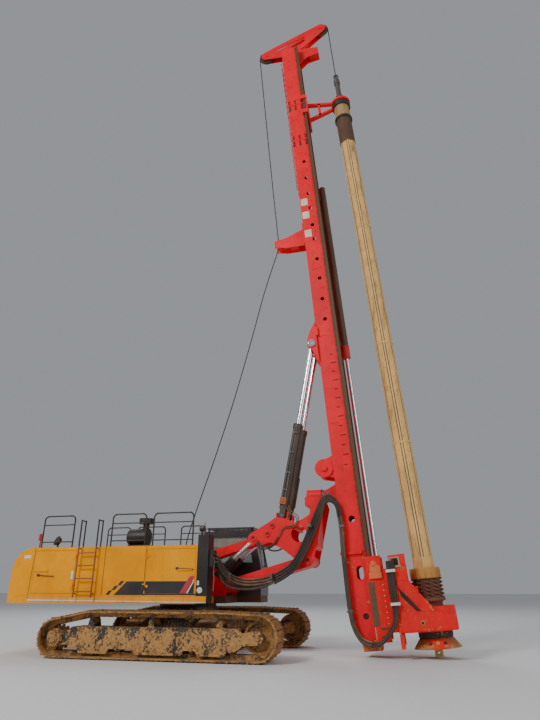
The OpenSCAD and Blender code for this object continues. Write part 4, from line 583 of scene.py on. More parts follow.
def pin_boss(place, x, z, y, r):
    """A pin's end in its boss: turned ring, recessed pin, keeper plate and its two bolts."""
    out = math.copysign(1, y)
    shapes = [bar(place, (x, y, z), (x, y + out * 0.022, z), r, 32, r * 0.94),
              bar(place, (x, y + out * 0.02, z), (x, y + out * 0.034, z), r * 0.62, 28),
              block(place, (x - r * 0.30, y, z - r * 1.02),
                    (x + r * 0.30, y + out * 0.040, z - r * 0.42))]
    return shapes + [bolt(place, x + k * r * 0.18, y + out * 0.038, z - r * 0.86, 0.013) for k in (-1, 1)]


pin_grease = weathered("pin_end_grease", (0.10, 0.012, 0.010), (0.35, 0.25, 0.2), rough=0.35, metal=0.3,
                       dust=0.2, grime_share=0.8)
SIDES = ((-1, "right"), (1, "left"))
TRIANGLE_PINS = ((2.05, 2.93, 0.10, 0.045), (2.46, 3.03, 0.085, 0.04), (2.60, 3.25, 0.085, 0.04),
                 (3.59, 2.32, 0.12, 0.055))
for side, label in SIDES:
    bosses = [part for x, z, boss_r, _ in TRIANGLE_PINS
              for part in pin_boss(at, x, z, side * 0.5605, boss_r)]
    joined("triangle_pin_bosses_" + label, mast_red, "triangle", "mast_paint", *bosses, bevel=0.002)
    greased = [bar(at, (x, side * 0.594, z), (x, side * 0.599, z), pin_r, 20)
               for x, z, _, pin_r in TRIANGLE_PINS]
    joined("triangle_pin_ends_" + label, pin_grease, "triangle", "dark_steel", *greased, bevel=0)
drive_red = weathered("drive_red_paint", (0.92, 0.008, 0.008), (0.22, 0.07, 0.04), rough=0.42,
                      chips=0.35, dust=0.1, mud_to=0.45, grime=(0.20, 0.03, 0.012), grime_share=0.4,
                      gleam=0.3)
dress(drive_red, "drive_sled", "drive_gearbox", "lower_housing")

# What the mast carries: bolted splices, blank number plates, the height scale, climbing rungs and
# the foot's cross tube, all steel, welded or bolted to its two sides.


def on_mast(d, y, u):
    """A point of the leaning mast: ahead of the pivot, sideways, up."""
    return pivot + mast_ahead * d + mast_up * u + Vector((0, y, 0))


# Near-black painted shade: it stands for the shade inside slots, holes and bores, and it covers the cross
# tube that lies between the mast foot's side plates. It also prints the height scale's marks.
shade_and_scale_black = weathered("slot_shadow_and_scale_marks", (0.012, 0.007, 0.007), (0.05, 0.02, 0.02), rough=0.8, chips=0)
joined("foot_cross_tube", shade_and_scale_black, "mast", "mast_paint",
       bar(on_mast, (0.64, -0.405, -3.21), (0.64, 0.405, -3.21), 0.0745, 28), bevel=0)
plate_pale = weathered("blank_plate_paint", (0.74, 0.66, 0.48), (0.5, 0.3, 0.25), rough=0.5, chips=0.5)
MAST_SIDE = 0.42
for side, label in SIDES:
    skin = side * MAST_SIDE
    splices, slots = [], []
    for u in (15.10, 13.25):
        splices += [block(on_mast, (0.275, skin, u + lift - 0.018),
                          (0.86, skin + side * 0.012, u + lift + 0.018)) for lift in (-0.02, 0.02)]
        # Each slot in a splice plate is a thin dark plate of painted shade.
        for d in (0.33, 0.56, 0.80):
            slots.append(plate(on_mast, [(d - 0.035, u - 0.30), (d + 0.035, u - 0.30),
                                         (d + 0.035, u + 0.24), (d - 0.035, u + 0.24)],
                               skin, skin + side * 0.003))
            splices += [bolt(on_mast, d, skin + side * 0.004, u + k * 0.10, 0.024, 0.022)
                        for k in (-2, -1, 1, 2)]
    splices += [bolt(on_mast, 0.31 + k * 0.058, skin, u, 0.016, 0.03)
                for u in (-1.60, -1.73) for k in range(10)]
    for u in (17.05, 16.1, 14.3, 12.6, 7.42, 4.9, 3.1, 2.0):
        splices.append(block(on_mast, (0.36, skin, u), (0.58, skin + side * 0.010, u + 0.022)))
    for u in (17.4, 16.6, 14.7, 13.9, 12.5, 11.75, 11.0, 10.3, 9.6, 8.95, 8.25, 7.45, 6.65, 5.9, 5.1):
        splices.append(bolt(on_mast, 0.67, skin, u, 0.028, 0.02))
    joined("mast_splices_" + label, mast_red, "mast", "mast_paint", *splices, bevel=0.002)
    marks = [block(on_mast, (0.60, skin, 0.73 + k * 0.29),
                   (0.60 + (0.16 if k % 2 else 0.10), skin + side * 0.003, 0.755 + k * 0.29))
             for k in range(13)]
    joined("splice_slot_shade_and_scale_" + label, shade_and_scale_black, "mast", "mast_paint", *slots, *marks, bevel=0)
    plates = [block(on_mast, (0.30, skin, u - 0.17), (0.54, skin + side * 0.006, u + 0.13))
              for u in (10.30, 9.72, 8.93)]
    joined("blank_mast_plates_" + label, plate_pale, "mast", "mast_paint", *plates)
    rungs = []
    y0, y1 = sorted((0.0, side * 0.30))
    for u in [11.2 + k * 0.31 for k in range(22)]:
        rungs.append(bar(on_mast, (0.19, y0, u), (0.19, y1, u), 0.011, 8))
        rungs.append(bar(on_mast, (0.27, side * 0.29, u), (0.19, side * 0.29, u), 0.011, 8))
    joined("climbing_rungs_" + label, mast_red, "mast", "mast_paint", *rungs, bevel=0)

# Cylinders, rods, cross blocks, winch and sheaves: bored tube sprayed black or brown, rods
# hard-chromed, pins and drums bare and greasy.
barrel_black = weathered("barrel_black_paint", (0.034, 0.026, 0.021), (0.25, 0.18, 0.13), rough=0.4,
                         chips=0.35, dust=0.5, grime=(0.10, 0.065, 0.04), grime_share=0.5)
rod_chrome = weathered("rod_chrome", (0.75, 0.77, 0.80), (0.5, 0.5, 0.5), rough=0.12, metal=1.0,
                       chips=0.1, dust=0.1, grime=(0.25, 0.2, 0.15), grime_share=0.15, pitting=0.02)
pin_steel = weathered("pin_steel", (0.16, 0.14, 0.13), (0.4, 0.36, 0.32), rough=0.45, metal=0.7,
                      dust=0.3)
kelly_zero = pivot.dot(mast_up)
crowd_brown = weathered("crowd_brown_paint", (0.55, 0.012, 0.010), (0.3, 0.2, 0.14), rough=0.5, dust=0.3,
                        grime_share=0.5,
                        bands=(tuple(mast_up), [(kelly_zero + 4.62, (0.10, 0.040, 0.020))]))
dress(barrel_black, "luff_barrels", "mast_barrel_right", "mast_barrel_left", "sheave_rear",
      "sheave_front")
dress(rod_chrome, "luff_rods", "mast_rod_right", "mast_rod_left", "crowd_rod")
dress(pin_steel, "yoke_right", "yoke_left", "cardan", "winch_drum", "kelly_swivel")
dress(crowd_brown, "crowd_barrel")

port_rust = weathered("port_block_orange", (0.42, 0.085, 0.012), (0.3, 0.15, 0.08), rough=0.6, dust=0.4,
                      grime_share=0.5)
base = Vector((1.606 - slew_x, 0, 3.52))
rod_way = Vector(joints["right_rod_slide"]["axis"])
rod_side = Vector((rod_way.z, 0, -rod_way.x))


def on_cylinder(across, y, along):
    """A point of a mast cylinder: ahead of its axis, sideways, up from its base pin."""
    return at(*(base + rod_side * across + rod_way * along + Vector((0, y, 0))))


for side, body in ((-1, "right_barrel"), (1, "left_barrel")):
    y = side * 0.38
    out = y + side * 0.155
    pipes = [bar(on_cylinder, (across, out, 0.42), (across, out, top), 0.014, 10)
             for across, top in ((-0.06, 2.55), (0.02, 1.25))]
    pipes += [block(on_cylinder, (-0.10, y + side * 0.12, along), (0.05, out + side * 0.02, along + 0.03))
              for along in (0.7, 1.2, 1.8, 2.4)]
    joined("cylinder_pipes_" + body, pin_steel, body, "dark_steel", *pipes)
    port = [block(on_cylinder, (-0.12, y + side * 0.10, 0.30), (0.06, out + side * 0.025, 0.50)),
            bar(on_cylinder, (-0.03, out + side * 0.02, 0.40), (-0.03, out + side * 0.05, 0.40), 0.045, 20)]
    joined("cylinder_port_" + body, port_rust, body, "dark_steel", *port, bevel=0.008)

# Kelly bar: thick steel tube with six drive keys welded along it, weld rings between its lengths
# and a collar on its head, rusted and coated with drilling mud that dried pale.
kelly_mud = weathered("kelly_dried_mud", (0.80, 0.47, 0.15), (0.5, 0.36, 0.2), rough=0.75,
                      chips=0.4, dust=0.3, grime=(0.17, 0.075, 0.026), grime_share=0.7, pitting=0.8,
                      streaks=1.3, bands=(tuple(mast_up), [
                          (kelly_zero + 12.85, (0.075, 0.035, 0.018)),
                          (kelly_zero + 14.05, (0.016, 0.012, 0.010)),
                          (kelly_zero + 14.16, (0.42, 0.24, 0.09))]))
dress(kelly_mud, "kelly_bar")


def round_kelly(r, angle, u):
    """A point round the kelly bar's axis."""
    return on_mast(2.3 + r * math.cos(angle), r * math.sin(angle), u)


def shell(rings, sides=48):
    """A turned shape round the kelly bar from (radius, height) rings, closed into a loop."""
    points = [round_kelly(r, 2 * math.pi * k / sides, u) for r, u in rings for k in range(sides)]
    return points, walls(len(rings), sides, closed=True)


def kelly_strip(middle, half, u0, u1, r):
    """A strip laid along the kelly bar: its middle and half width as angles, its outer radius."""
    corners = [round_kelly(radius, middle + turn, u) for u in (u0, u1)
               for radius, turn in ((0.266, -half), (r, -half * 0.9), (r, half * 0.9), (0.266, half))]
    return corners, [(0, 1, 2, 3), (7, 6, 5, 4), (0, 4, 5, 1), (1, 5, 6, 2), (2, 6, 7, 3), (3, 7, 4, 0)]


def on_kelly(name, material, *shapes, body="kelly", bevel=0.003):
    """A piece fixed to the kelly bar, or to the sleeve or guide round it."""
    return joined(name, material, body, "kelly_steel", *shapes, bevel=bevel)


# Along both sides of each key runs a thin dark strip of painted shadow, so the keys read as raised ridges.
# The pale streaks on those strips are dried mud.
keys, key_shadow_lines = [], []
KEY_R = 0.280
for k in range(6):
    key_angle = math.pi / 6 + k * math.pi / 3
    keys.append(kelly_strip(key_angle, 0.085, -1.95, 12.86, KEY_R))
    key_shadow_lines += [kelly_strip(key_angle + turn, 0.05, -1.90, 12.84, 0.2725) for turn in (-0.13, 0.13)]
key_pale = weathered("kelly_key_pale_mud", (0.76, 0.50, 0.21), (0.5, 0.4, 0.28), rough=0.75, chips=0.4,
                     dust=0.3, grime=(0.25, 0.12, 0.045), grime_share=0.6, pitting=0.7, streaks=1.2)
on_kelly("kelly_drive_keys", key_pale, *keys, bevel=0)
key_shadow_and_mud = weathered("kelly_key_shadow_and_mud_streaks", (0.16, 0.075, 0.03), (0.3, 0.2, 0.1), rough=0.8, chips=0.3,
                         dust=0.2, grime=(0.45, 0.28, 0.11), grime_share=0.6, streaks=1.4)
on_kelly("kelly_key_shadow_lines", key_shadow_and_mud, *key_shadow_lines, bevel=0)
kelly_rings = [shell([(0.27, u), (KEY_R, u + 0.004), (KEY_R, u + 0.05), (0.27, u + 0.054)])
               for u in (8.9, 4.4, 1.2)]
on_kelly("kelly_weld_rings", kelly_mud, *kelly_rings, bevel=0)
collar_dark = weathered("kelly_collar_black", (0.014, 0.011, 0.010), (0.2, 0.15, 0.1), rough=0.55,
                        dust=0.2)
on_kelly("kelly_top_collars", collar_dark,
         shell([(0.268, 14.02), (0.335, 14.04), (0.335, 14.13), (0.268, 14.15)]))

# Kelly guide: plate welded into one thick truss, on four sliding shoes that grip the mast's
# rails. Its ring and bearing hold the kelly bar's head in line.
GUIDE_HALF = 0.07
guide = [block(on_mast, (0.975, -0.50, 14.45), (1.035, 0.50, 15.38)),
         shell([(0.292, 14.94), (0.365, 14.94), (0.365, 15.04), (0.292, 15.04)])]
guide += [plate(on_mast, outline, -GUIDE_HALF, GUIDE_HALF) for outline in (
    [(1.00, 15.38), (2.01, 15.13), (2.01, 15.03), (1.00, 15.27)],
    [(1.00, 14.57), (1.97, 14.85), (1.97, 14.75), (1.00, 14.46)],
    [(1.40, 14.60), (1.50, 14.63), (1.50, 15.22), (1.40, 15.24)])]
for side, _ in SIDES:
    for u in (14.45, 15.20):
        guide += [block(on_mast, (0.80, side * 0.515, u), (1.03, side * 0.55, u + 0.18)),
                  block(on_mast, (0.80, side * 0.43, u), (0.85, side * 0.54, u + 0.18))]
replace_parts(joined("kelly_guide_truss", mast_red, "guide", "mast_paint", *guide), "kelly_guide")
on_kelly("guide_bearing", collar_dark,
         shell([(0.292, 14.70), (0.345, 14.72), (0.345, 14.90), (0.292, 14.92)]), body="guide")

# Drive sleeve: turned steel rings and neck with a ring of buffer springs round it, which soften the
# blows when the kelly bar is let down; rusted, its top ring bolted on.
sleeve_rust = weathered("sleeve_rust", (0.17, 0.040, 0.018), (0.42, 0.20, 0.06), rough=0.7, chips=0.6,
                        dust=0.35, grime=(0.05, 0.015, 0.010), grime_share=0.6, pitting=0.6)
dress(sleeve_rust, "drive_sleeve")
neck_brown = weathered("sleeve_neck_brown", (0.10, 0.028, 0.014), (0.3, 0.14, 0.05), rough=0.75, dust=0.3,
                       grime=(0.35, 0.17, 0.06), grime_share=0.35, pitting=0.5)
brass_ring = weathered("sleeve_ring_ochre", (0.55, 0.24, 0.035), (0.30, 0.10, 0.03), rough=0.6, chips=0.6,
                       dust=0.3, grime=(0.13, 0.045, 0.015), grime_share=0.7, pitting=0.5)
BORE = 0.300
on_kelly("sleeve_top_ring", brass_ring,
         shell([(BORE, -2.44), (0.385, -2.43), (0.388, -2.20), (0.375, -2.175), (BORE, -2.175)]),
         *[bar(round_kelly, (0.386, k * math.pi / 8, -2.42), (0.386, k * math.pi / 8, -2.20), 0.010, 8)
           for k in range(16)], body="drive_rotor")
on_kelly("sleeve_lower_ring", sleeve_rust,
         shell([(BORE, -2.98), (0.405, -2.98), (0.405, -2.93), (0.390, -2.905), (BORE, -2.905)]),
         body="drive_rotor")
on_kelly("sleeve_neck", neck_brown, shell([(BORE, -2.91), (0.342, -2.91), (0.342, -2.43), (BORE, -2.43)]),
         body="drive_rotor")
SPRINGS, TURNS, STEPS = 10, 5, 60
SPRING_CIRCLE, COIL_R, WIRE_R = 0.352, 0.050, 0.016
SPRING_FOOT, SPRING_HEIGHT = -2.90, 0.46
springs = []
for k in range(SPRINGS):
    middle = 2 * math.pi * (k + 0.5) / SPRINGS
    outward = (round_kelly(1.35, middle, 0) - round_kelly(0.35, middle, 0)).normalized()
    sideways = outward.cross(mast_up).normalized()
    coil = []
    for step in range(STEPS + 1):
        turn = step / STEPS * TURNS * 2 * math.pi
        centre = round_kelly(SPRING_CIRCLE, middle, SPRING_FOOT + step / STEPS * SPRING_HEIGHT)
        coil.append(centre + (outward * math.cos(turn) + sideways * math.sin(turn)) * COIL_R)
    springs.append(hose(lambda *point: Vector(point), coil, WIRE_R, 6, 1))
on_kelly("buffer_springs", sleeve_rust, *springs, body="drive_rotor", bevel=0)

# Rotary drive's outside: stiffening braces, bolted covers, hose plates, the crowd rod's clevis and
# the guard's faces, bolted or welded to the red frame.
greasy_rail = weathered("greased_rail_steel", (0.16, 0.085, 0.042), (0.42, 0.34, 0.24), rough=0.4,
                        metal=0.35, chips=0.5, dust=0.3, grime=(0.03, 0.018, 0.012), grime_share=0.7)
clevis_orange = weathered("clevis_orange_paint", (0.82, 0.17, 0.050), (0.3, 0.12, 0.06), rough=0.5,
                          chips=0.5, dust=0.25, grime_share=0.4)
hose_plate_paint = weathered("hose_plate_paint", (0.42, 0.30, 0.20), (0.3, 0.2, 0.15), rough=0.5,
                             dust=0.3)


def on_drive(name, material, *shapes, bevel=0.0):
    """A piece on the rotary drive's frame or guard."""
    return joined(name, material, "drive", "mast_paint", *shapes, bevel=bevel)


for side, label in SIDES:
    skin = side * 0.7205
    braces = [plate(on_mast, outline, skin, skin + side * proud) for outline, proud in (
        ([(1.55, -2.44), (1.80, -2.46), (2.24, -2.98), (2.38, -3.20), (2.06, -3.18), (1.73, -2.76),
          (1.55, -2.58)], 0.022),
        ([(1.42, -3.20), (2.06, -3.18), (2.38, -3.20), (2.82, -3.33), (2.80, -3.62), (1.42, -3.62)], 0.014),
        ([(1.42, -1.84), (1.83, -1.82), (1.84, -2.44), (1.55, -2.44), (1.42, -2.40)], 0.010))]
    braces += [bolt(on_mast, d, skin + side * 0.012, u, 0.018, 0.016)
               for d, u in ((1.70, -1.90), (1.78, -2.05), (1.78, -2.36), (2.7, -3.37), (2.7, -3.57),
                            (1.9, -3.57), (2.3, -3.57), (1.5, -3.57), (1.5, -3.26))]
    braces += [block(on_mast, (1.42, skin, -3.99), (1.53, skin - side * 0.14, -3.66))]
    on_drive("drive_braces_" + label, drive_red, *braces, bevel=0.004)
    # Painted shade: a dark plate stands for the slot behind the slanted brace, and dark discs stand for a
    # round hole and a small eye's bore.
    dark = [plate(on_mast, [(1.56, -2.62), (1.71, -2.77), (2.03, -3.17), (1.92, -3.17), (1.60, -2.80)],
                  skin, skin + side * 0.004)]
    dark += [bar(on_mast, (d, skin + side * y0, u), (d, skin + side * y1, u), r, 28)
             for d, u, y0, y1, r in ((1.59, -1.99, 0.008, 0.014, 0.095),
                                     (1.73, -2.17, 0.020, 0.024, 0.018))]
    on_drive("drive_slot_shade_" + label, shade_and_scale_black, *dark)
    eyes = [bar(on_mast, (d, skin + side * y0, u), (d, skin + side * y1, u), r, 28, r * 0.89)
            for d, u, y0, y1, r in ((2.02, -3.44, 0.010, 0.030, 0.062),
                                    (1.73, -2.17, 0.008, 0.022, 0.045))]
    on_drive("drive_brass_eyes_" + label, brass_ring, *eyes, bevel=0.003)
    # The lower eye's bore is a dark disc of painted shade.
    on_drive("drive_eye_bore_shade_" + label, shade_and_scale_black,
             bar(on_mast, (2.02, skin + side * 0.03, -3.44), (2.02, skin + side * 0.033, -3.44), 0.032, 24))
    sled = side * 0.5405
    near, far = sorted((sled, sled + side * 0.055))
    clevis = [block(on_mast, (0.87, near, -2.34), (1.20, far, -2.19)),
              plate(on_mast, [(0.90, -2.19), (0.91, -2.02), (0.97, -1.90), (1.06, -1.90), (1.11, -2.00),
                              (1.12, -2.19)], sled, sled + side * 0.035),
              block(on_mast, (1.10, near, -2.19), (1.19, far, -2.03)),
              bar(on_mast, (1.01, sled + side * 0.03, -1.98), (1.01, sled + side * 0.065, -1.98), 0.05, 28)]
    on_drive("crowd_clevis_cheek_" + label, clevis_orange, *clevis, bevel=0.008)
    low, high = sorted((skin + side * 0.011, skin + side * 0.03))
    frame_bars = [block(on_mast, (d0, low, u0), (d1, high, u1)) for d0, u0, d1, u1 in (
        (1.43, -2.12, 1.72, -2.07), (1.43, -1.90, 1.70, -1.86), (1.43, -2.07, 1.48, -1.90),
        (1.66, -2.07, 1.70, -1.90))]
    on_drive("hose_plate_" + label, hose_plate_paint, *frame_bars, bevel=0.004)
    strip = [block(on_mast, (d0, sled, u0), (d1, sled + side * proud, u1)) for d0, u0, d1, u1, proud in (
        (0.815, -3.45, 0.985, -2.42, 0.006), (0.86, -3.45, 0.90, -2.42, 0.018),
        (0.98, -3.52, 1.215, -3.48, 0.02), (0.98, -3.70, 1.215, -3.66, 0.02))]
    joined("sled_wear_strip_" + label, greasy_rail, "drive", "dark_steel", *strip, bevel=0.003)
    rows = [bolt(on_mast, 0.845, sled, -3.50 - k * 0.036, 0.012, 0.012) for k in range(8)]
    rows += [bolt(on_mast, 1.19, sled, -2.50 - k * 0.13, 0.014, 0.012) for k in range(8)]
    joined("sled_bolts_" + label, plate_pale, "drive", "dark_steel", *rows, bevel=0)


def guard_skin(half_angle, u0, u1, proud, middle, steps=14):
    """A patch of sheet that follows the guard's cone, middle and half_angle in degrees."""
    points, faces = [], []
    for layer in (0, proud):
        for u in (u0, u1):
            r = 0.59 - (u + 4.05) / 0.25 * 0.19 + layer
            points += [round_kelly(r, math.radians(middle - half_angle + 2 * half_angle * k / steps), u)
                       for k in range(steps + 1)]
    n = steps + 1
    for k in range(steps):
        faces += [(k, k + 1, n + k + 1, n + k), (2 * n + k, 3 * n + k, 3 * n + k + 1, 2 * n + k + 1),
                  (k, 2 * n + k, 2 * n + k + 1, k + 1), (n + k, n + k + 1, 3 * n + k + 1, 3 * n + k)]
    return points, faces + [(0, n, 3 * n, 2 * n), (n - 1, 3 * n - 1, 4 * n - 1, 2 * n - 1)]


guard_faces, guard_hole_shades, guard_discs = [], [], []
for middle in (-90, 90):
    guard_faces.append(guard_skin(30, -4.035, -3.83, 0.014, middle))
    # Two of the three discs on each guard face are dark discs of painted shade that stand for holes; the
    # middle one is a brass disc.
    for angle, r in ((-20, 0.042), (20, 0.042), (0, 0.05)):
        turned = math.radians(middle + angle)
        hub = [(0.50, turned, -3.93), (0.53, turned, -3.913)]
        (guard_discs if angle == 0 else guard_hole_shades).append(bar(round_kelly, *hub, r, 24))
on_drive("guard_faces", drive_red, *guard_faces)
on_drive("guard_hole_shades", shade_and_scale_black, *guard_hole_shades)
on_drive("guard_discs", brass_ring, *guard_discs, bevel=0.003)
guard_orange = weathered("guard_orange_rust", (0.40, 0.10, 0.015), (0.3, 0.12, 0.05), rough=0.6, chips=0.5,
                         dust=0.3, mud_to=0.5, grime_share=0.5,
                         bands=(tuple(mast_up), [(kelly_zero - 3.815, (0.012, 0.009, 0.008))]))
dress(guard_orange, "lower_housing")

# Hoses: rubber over wire braid, in bundles held by clamps. They leave a bulkhead on the dark box,
# hang along the lower arm, climb the triangle, and run down the mast and round its foot.
hose_rubber = weathered("hose_rubber_muddy", (0.035, 0.028, 0.022), (0.2, 0.15, 0.1), rough=0.7,
                        chips=0.5, dust=0.8, grime=(0.36, 0.23, 0.11), grime_share=0.9, pitting=0.3)
dark_rubber = weathered("hose_rubber_dark", (0.020, 0.012, 0.011), (0.2, 0.15, 0.1), rough=0.6,
                        chips=0.3, dust=0.3, grime=(0.13, 0.075, 0.04), grime_share=0.6, pitting=0.3)
clamp_steel = weathered("pale_clamp_steel", (0.72, 0.70, 0.64), (0.4, 0.35, 0.3), rough=0.5, dust=0.3)
HOSE_R = 0.032
HOSE_Y = -0.56 - 0.04 - HOSE_R
MAST_HOSE_Y = -MAST_SIDE - 0.072 - HOSE_R


def row(step, count):
    """Offsets of hoses that lie side by side."""
    return [[k * s for s in step] for k in range(count)]


def pairs(step, layer, count):
    """Offsets of hoses that lie two by two, the second pair on the first."""
    return [[k % 2 * s + k // 2 * l for s, l in zip(step, layer)] for k in range(count)]


def bundle(name, rubber, body, place, route, starts, ends):
    """Hoses whose offsets from the route change evenly from its start to its end, as one piece."""
    hoses = []
    for first, last in zip(starts, ends):
        line = []
        for i, point in enumerate(route):
            t = i / (len(route) - 1)
            line.append([p + a * (1 - t) + b * t for p, a, b in zip(point, first, last)])
        hoses.append(hose(place, line, HOSE_R))
    return joined(name, rubber, body, "hose_rubber", *hoses, bevel=0)


side_step = (0.020, -0.016, -0.064)
boom_route = [(1.192, -1.23, 2.42), (1.26, -1.23, 2.40), (1.35, -1.15, 2.18), (1.54, -0.97, 1.95),
              (1.86, HOSE_Y - 0.06, 1.83), (2.30, HOSE_Y, 1.85), (2.62, HOSE_Y, 1.93)]
boom_hoses = bundle("boom_hoses", hose_rubber, None, at, boom_route, row((0, -0.040, -0.084), 3),
                    row(side_step, 3))
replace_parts(boom_hoses, "hose_boom")
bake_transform(boom_hoses)
low_route = [(1.192, -1.20, 2.30), (1.25, -1.19, 2.26), (1.30, -1.10, 1.98), (1.46, -0.95, 1.74),
             (1.80, HOSE_Y - 0.05, 1.66), (2.25, HOSE_Y, 1.70), (2.62, HOSE_Y, 1.82)]
low_hoses = bundle("boom_hoses_low", hose_rubber, None, at, low_route, row((0, -0.05, -0.09), 2),
                   row(side_step, 2))
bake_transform(low_hoses)
elbow_row, head_row = row(side_step, 4), row((0.062, -0.016, -0.026), 4)
elbow_route = [(2.62, HOSE_Y, 1.93), (2.93, HOSE_Y, 2.08), (3.21, HOSE_Y, 2.31), (3.45, HOSE_Y, 2.70),
               (3.69, HOSE_Y, 3.22)]
elbow_hoses = bundle("elbow_hoses", dark_rubber, None, at, elbow_route, elbow_row, head_row)
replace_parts(elbow_hoses, "hose_arm")
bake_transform(elbow_hoses)
crest_row = row((0.0, -0.016, -0.066), 4)
mast_pairs = pairs((-0.067, 0, -0.014), (0, -0.067, 0), 4)
foot_pairs = pairs((-0.032, 0, -0.060), (0, -0.067, 0), 4)
head_route = [(3.69, HOSE_Y, 3.22), (3.94, HOSE_Y, 3.74), (4.04, HOSE_Y, 3.92), (4.15, HOSE_Y, 4.00)]
head_hoses = bundle("head_hoses", dark_rubber, None, at, head_route, head_row, crest_row)
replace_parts(head_hoses, "hose_triangle")
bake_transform(head_hoses)
pivot_route = [(4.15, HOSE_Y, 4.00), (4.27, HOSE_Y + 0.01, 3.99), (4.40, -0.58, 3.89),
               (4.485, -0.55, 3.72), (4.53, MAST_HOSE_Y, 3.45)]
pivot_hoses = bundle("pivot_hoses", dark_rubber, None, at, pivot_route, crest_row, mast_pairs)
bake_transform(pivot_hoses)
mast_route = [(0.33, MAST_HOSE_Y, -0.68), (0.34, MAST_HOSE_Y, -0.95), (0.31, MAST_HOSE_Y, -1.47),
              (0.29, MAST_HOSE_Y, -2.20), (0.29, MAST_HOSE_Y, -3.05), (0.35, MAST_HOSE_Y, -3.45),
              (0.50, MAST_HOSE_Y, -3.72), (0.72, MAST_HOSE_Y, -3.82)]
mast_hoses = bundle("mast_hoses", hose_rubber, "mast", on_mast, mast_route, mast_pairs, foot_pairs)
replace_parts(mast_hoses, "hose_mast")
drop_route = [(0.72, MAST_HOSE_Y, -3.82), (0.94, MAST_HOSE_Y - 0.10, -3.80), (1.18, -0.70, -3.60),
              (1.34, -0.775, -3.34), (1.37, -0.78, -3.0), (1.36, -0.78, -2.6), (1.38, -0.78, -1.95)]
drop_hoses = bundle("drive_hoses", dark_rubber, None, on_mast, drop_route, foot_pairs,
                    row((0.052, 0, 0), 4))
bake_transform(drop_hoses)
pale_clamps = [block(on_mast, (1.32, -0.87, u - 0.035), (1.56, -0.72, u + 0.035)) for u in (-2.19, -2.97)]
joined("drive_hose_clamps", clamp_steel, "drive", "dark_steel", *pale_clamps, bevel=0.006)
joined("arm_hose_clamp", pin_steel, "arm", "dark_steel",
       block(at, (2.59, HOSE_Y - 0.19, 1.84), (2.65, -0.509, 1.985)), bevel=0.008)
joined("triangle_hose_clamp", pin_steel, "triangle", "dark_steel",
       block(at, (3.63, HOSE_Y - 0.19, 3.15), (3.74, -0.561, 3.24)), bevel=0.008)
mast_clamps = [block(on_mast, (low, MAST_HOSE_Y - 0.11, u), (low + 0.15, -0.421, u + 0.06))
               for low, u in ((0.24, -0.98), (0.19, -3.09))]
joined("mast_hose_clamps", pin_steel, "mast", "dark_steel", *mast_clamps, bevel=0.008)
side_line = weathered("side_line_rubber", (0.16, 0.085, 0.035), (0.3, 0.2, 0.1), rough=0.7, chips=0.2)
line_route = [(3.02, 3.72), (3.13, 3.55), (3.30, 3.42), (3.26, 3.22), (3.08, 3.17), (2.90, 3.14),
              (2.80, 2.95), (2.66, 2.76)]
nose_route = [(2.72, 2.86), (2.60, 2.68), (2.40, 2.62), (2.22, 2.66), (2.14, 2.80)]
for name, rubber, route, r, places in (
        ("triangle_side_lines", side_line, line_route, 0.013, ((0, -0.585), (0.045, -0.585))),
        ("triangle_nose_hoses", dark_rubber, nose_route, 0.020,
         ((0, -0.585), (0.05, -0.60), (0.02, 0.59)))):
    lines = [hose(at, [(x + shift, y, z + shift) for x, z in route], r, 8) for shift, y in places]
    joined(name, rubber, "triangle", "hose_rubber", *lines, bevel=0)

# Ropes: steel wire. The main rope leaves the winch, hangs slack to the rollers behind the mast,
# passes over both head sheaves and holds the kelly bar's swivel.
rope_steel = weathered("greasy_wire_rope", (0.055, 0.05, 0.048), (0.25, 0.22, 0.2), rough=0.45,
                       metal=0.6, chips=0.3, dust=0.1)
ROPE_R = 0.018
roller = on_mast(-0.72, 0.0, 8.86)
slack = [(-0.20, 0.0, 2.40), (-0.15, 0.0, 2.92), (0.12, 0.0, 3.85), (0.60, 0.0, 5.30),
         (1.16, 0.0, 7.10), (1.75, 0.0, 9.30), (2.20, 0.0, 11.10), (roller.x - slew_x, 0.0, roller.z)]
slack_line = smooth([Vector(point) for point in slack], 8)
lengths = (("upperstructure", "arm"), ("arm", "triangle"), ("triangle", "mast_cardan"),
           ("mast_cardan", "mast"))
last_stop = len(slack_line) - 1
cuts = [k * (last_stop // len(lengths)) for k in range(len(lengths))] + [last_stop]
for k, (below, above) in enumerate(lengths):
    stretch = slack_line[cuts[k]:cuts[k + 1] + 1]
    rope = joined("main_rope_slack_" + str(k + 1), rope_steel, None, "dark_steel",
                  hose(at, stretch, ROPE_R, 8, 1), bevel=0)
    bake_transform(rope)
SHEAVE_R = 0.326


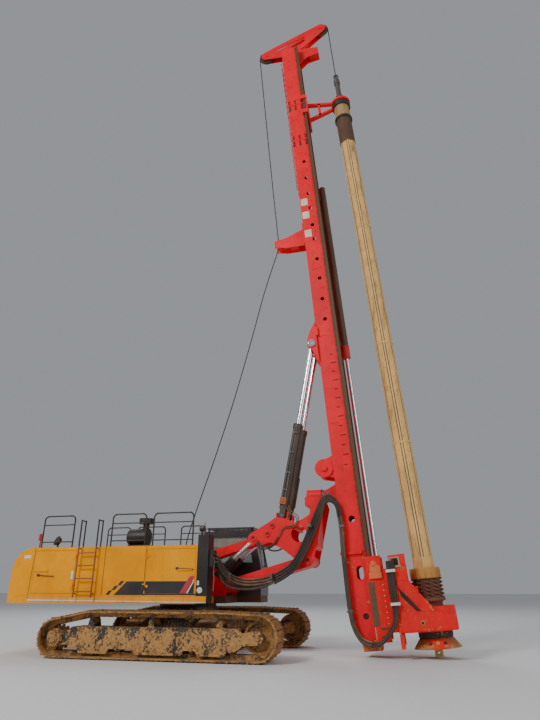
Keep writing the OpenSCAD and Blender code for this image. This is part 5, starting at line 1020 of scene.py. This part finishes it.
def over_sheave(d, u, angles):
    """Points of the rope's turn over a sheave, by degrees from straight ahead."""
    return [(d + SHEAVE_R * math.cos(math.radians(a)), 0.0, u + SHEAVE_R * math.sin(math.radians(a)))
            for a in angles]


rear_fall = [(-0.72, 0.0, 8.86), (-0.735, 0.0, 12.0), (-0.73, 0.0, 16.0), (-0.726, 0.0, 18.68)]
head_run = over_sheave(-0.4, 18.68, (180, 150, 125, 108)) + over_sheave(2.0, 19.48, (108, 80, 50, 25, 0))
joined("main_rope_head", rope_steel, "mast", "dark_steel", hose(on_mast, rear_fall, ROPE_R, 8, 4),
       hose(on_mast, head_run, ROPE_R, 8, 3), bevel=0)
fall_route = [(2.326, 0, 19.48), (2.31, 0, 18.0), (2.30, 0, 16.62)]
fall = joined("main_rope_fall", rope_steel, None, "dark_steel",
              hose(on_mast, fall_route, ROPE_R, 8, 4), bevel=0)
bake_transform(fall)

# Floor and lights: a pale floor that isn't part of the machine, and soft light from large panels.
# The key panel stands behind the camera to its left, and two weaker ones fill the shadows.
bpy.ops.mesh.primitive_plane_add(size=400, location=(0, 0, 0))
floor = bpy.context.object
floor.name = "pale_floor"
floor_paint = bpy.data.materials.new("pale_floor")
floor_paint.use_nodes = True
floor_look = floor_paint.node_tree.nodes["Principled BSDF"].inputs
floor_look["Base Color"].default_value = (0.72, 0.72, 0.72, 1)
floor_look["Roughness"].default_value = 0.9
floor.data.materials.append(floor_paint)
sky = bpy.data.worlds.new("studio_light")
sky.use_nodes = True
daylight = sky.node_tree.nodes["Background"].inputs
daylight["Color"].default_value = (0.86, 0.90, 0.95, 1)
daylight["Strength"].default_value = 0.36
bpy.context.scene.world = sky
for name, place, aim, power, size in (
        ("key_panel", (-16, -30, 26), (0, 0, 8), 8500, 10),
        ("fill_panel", (26, -18, 14), (2, 0, 6), 2200, 16),
        ("back_panel", (-10, 24, 30), (0, 0, 10), 3500, 16)):
    panel = bpy.data.lights.new(name, "AREA")
    panel.energy, panel.size = power, size
    lamp = bpy.data.objects.new(name, panel)
    lamp.location = place
    lamp.rotation_euler = (Vector(aim) - Vector(place)).to_track_quat("-Z", "Y").to_euler()
    bpy.context.scene.collection.objects.link(lamp)
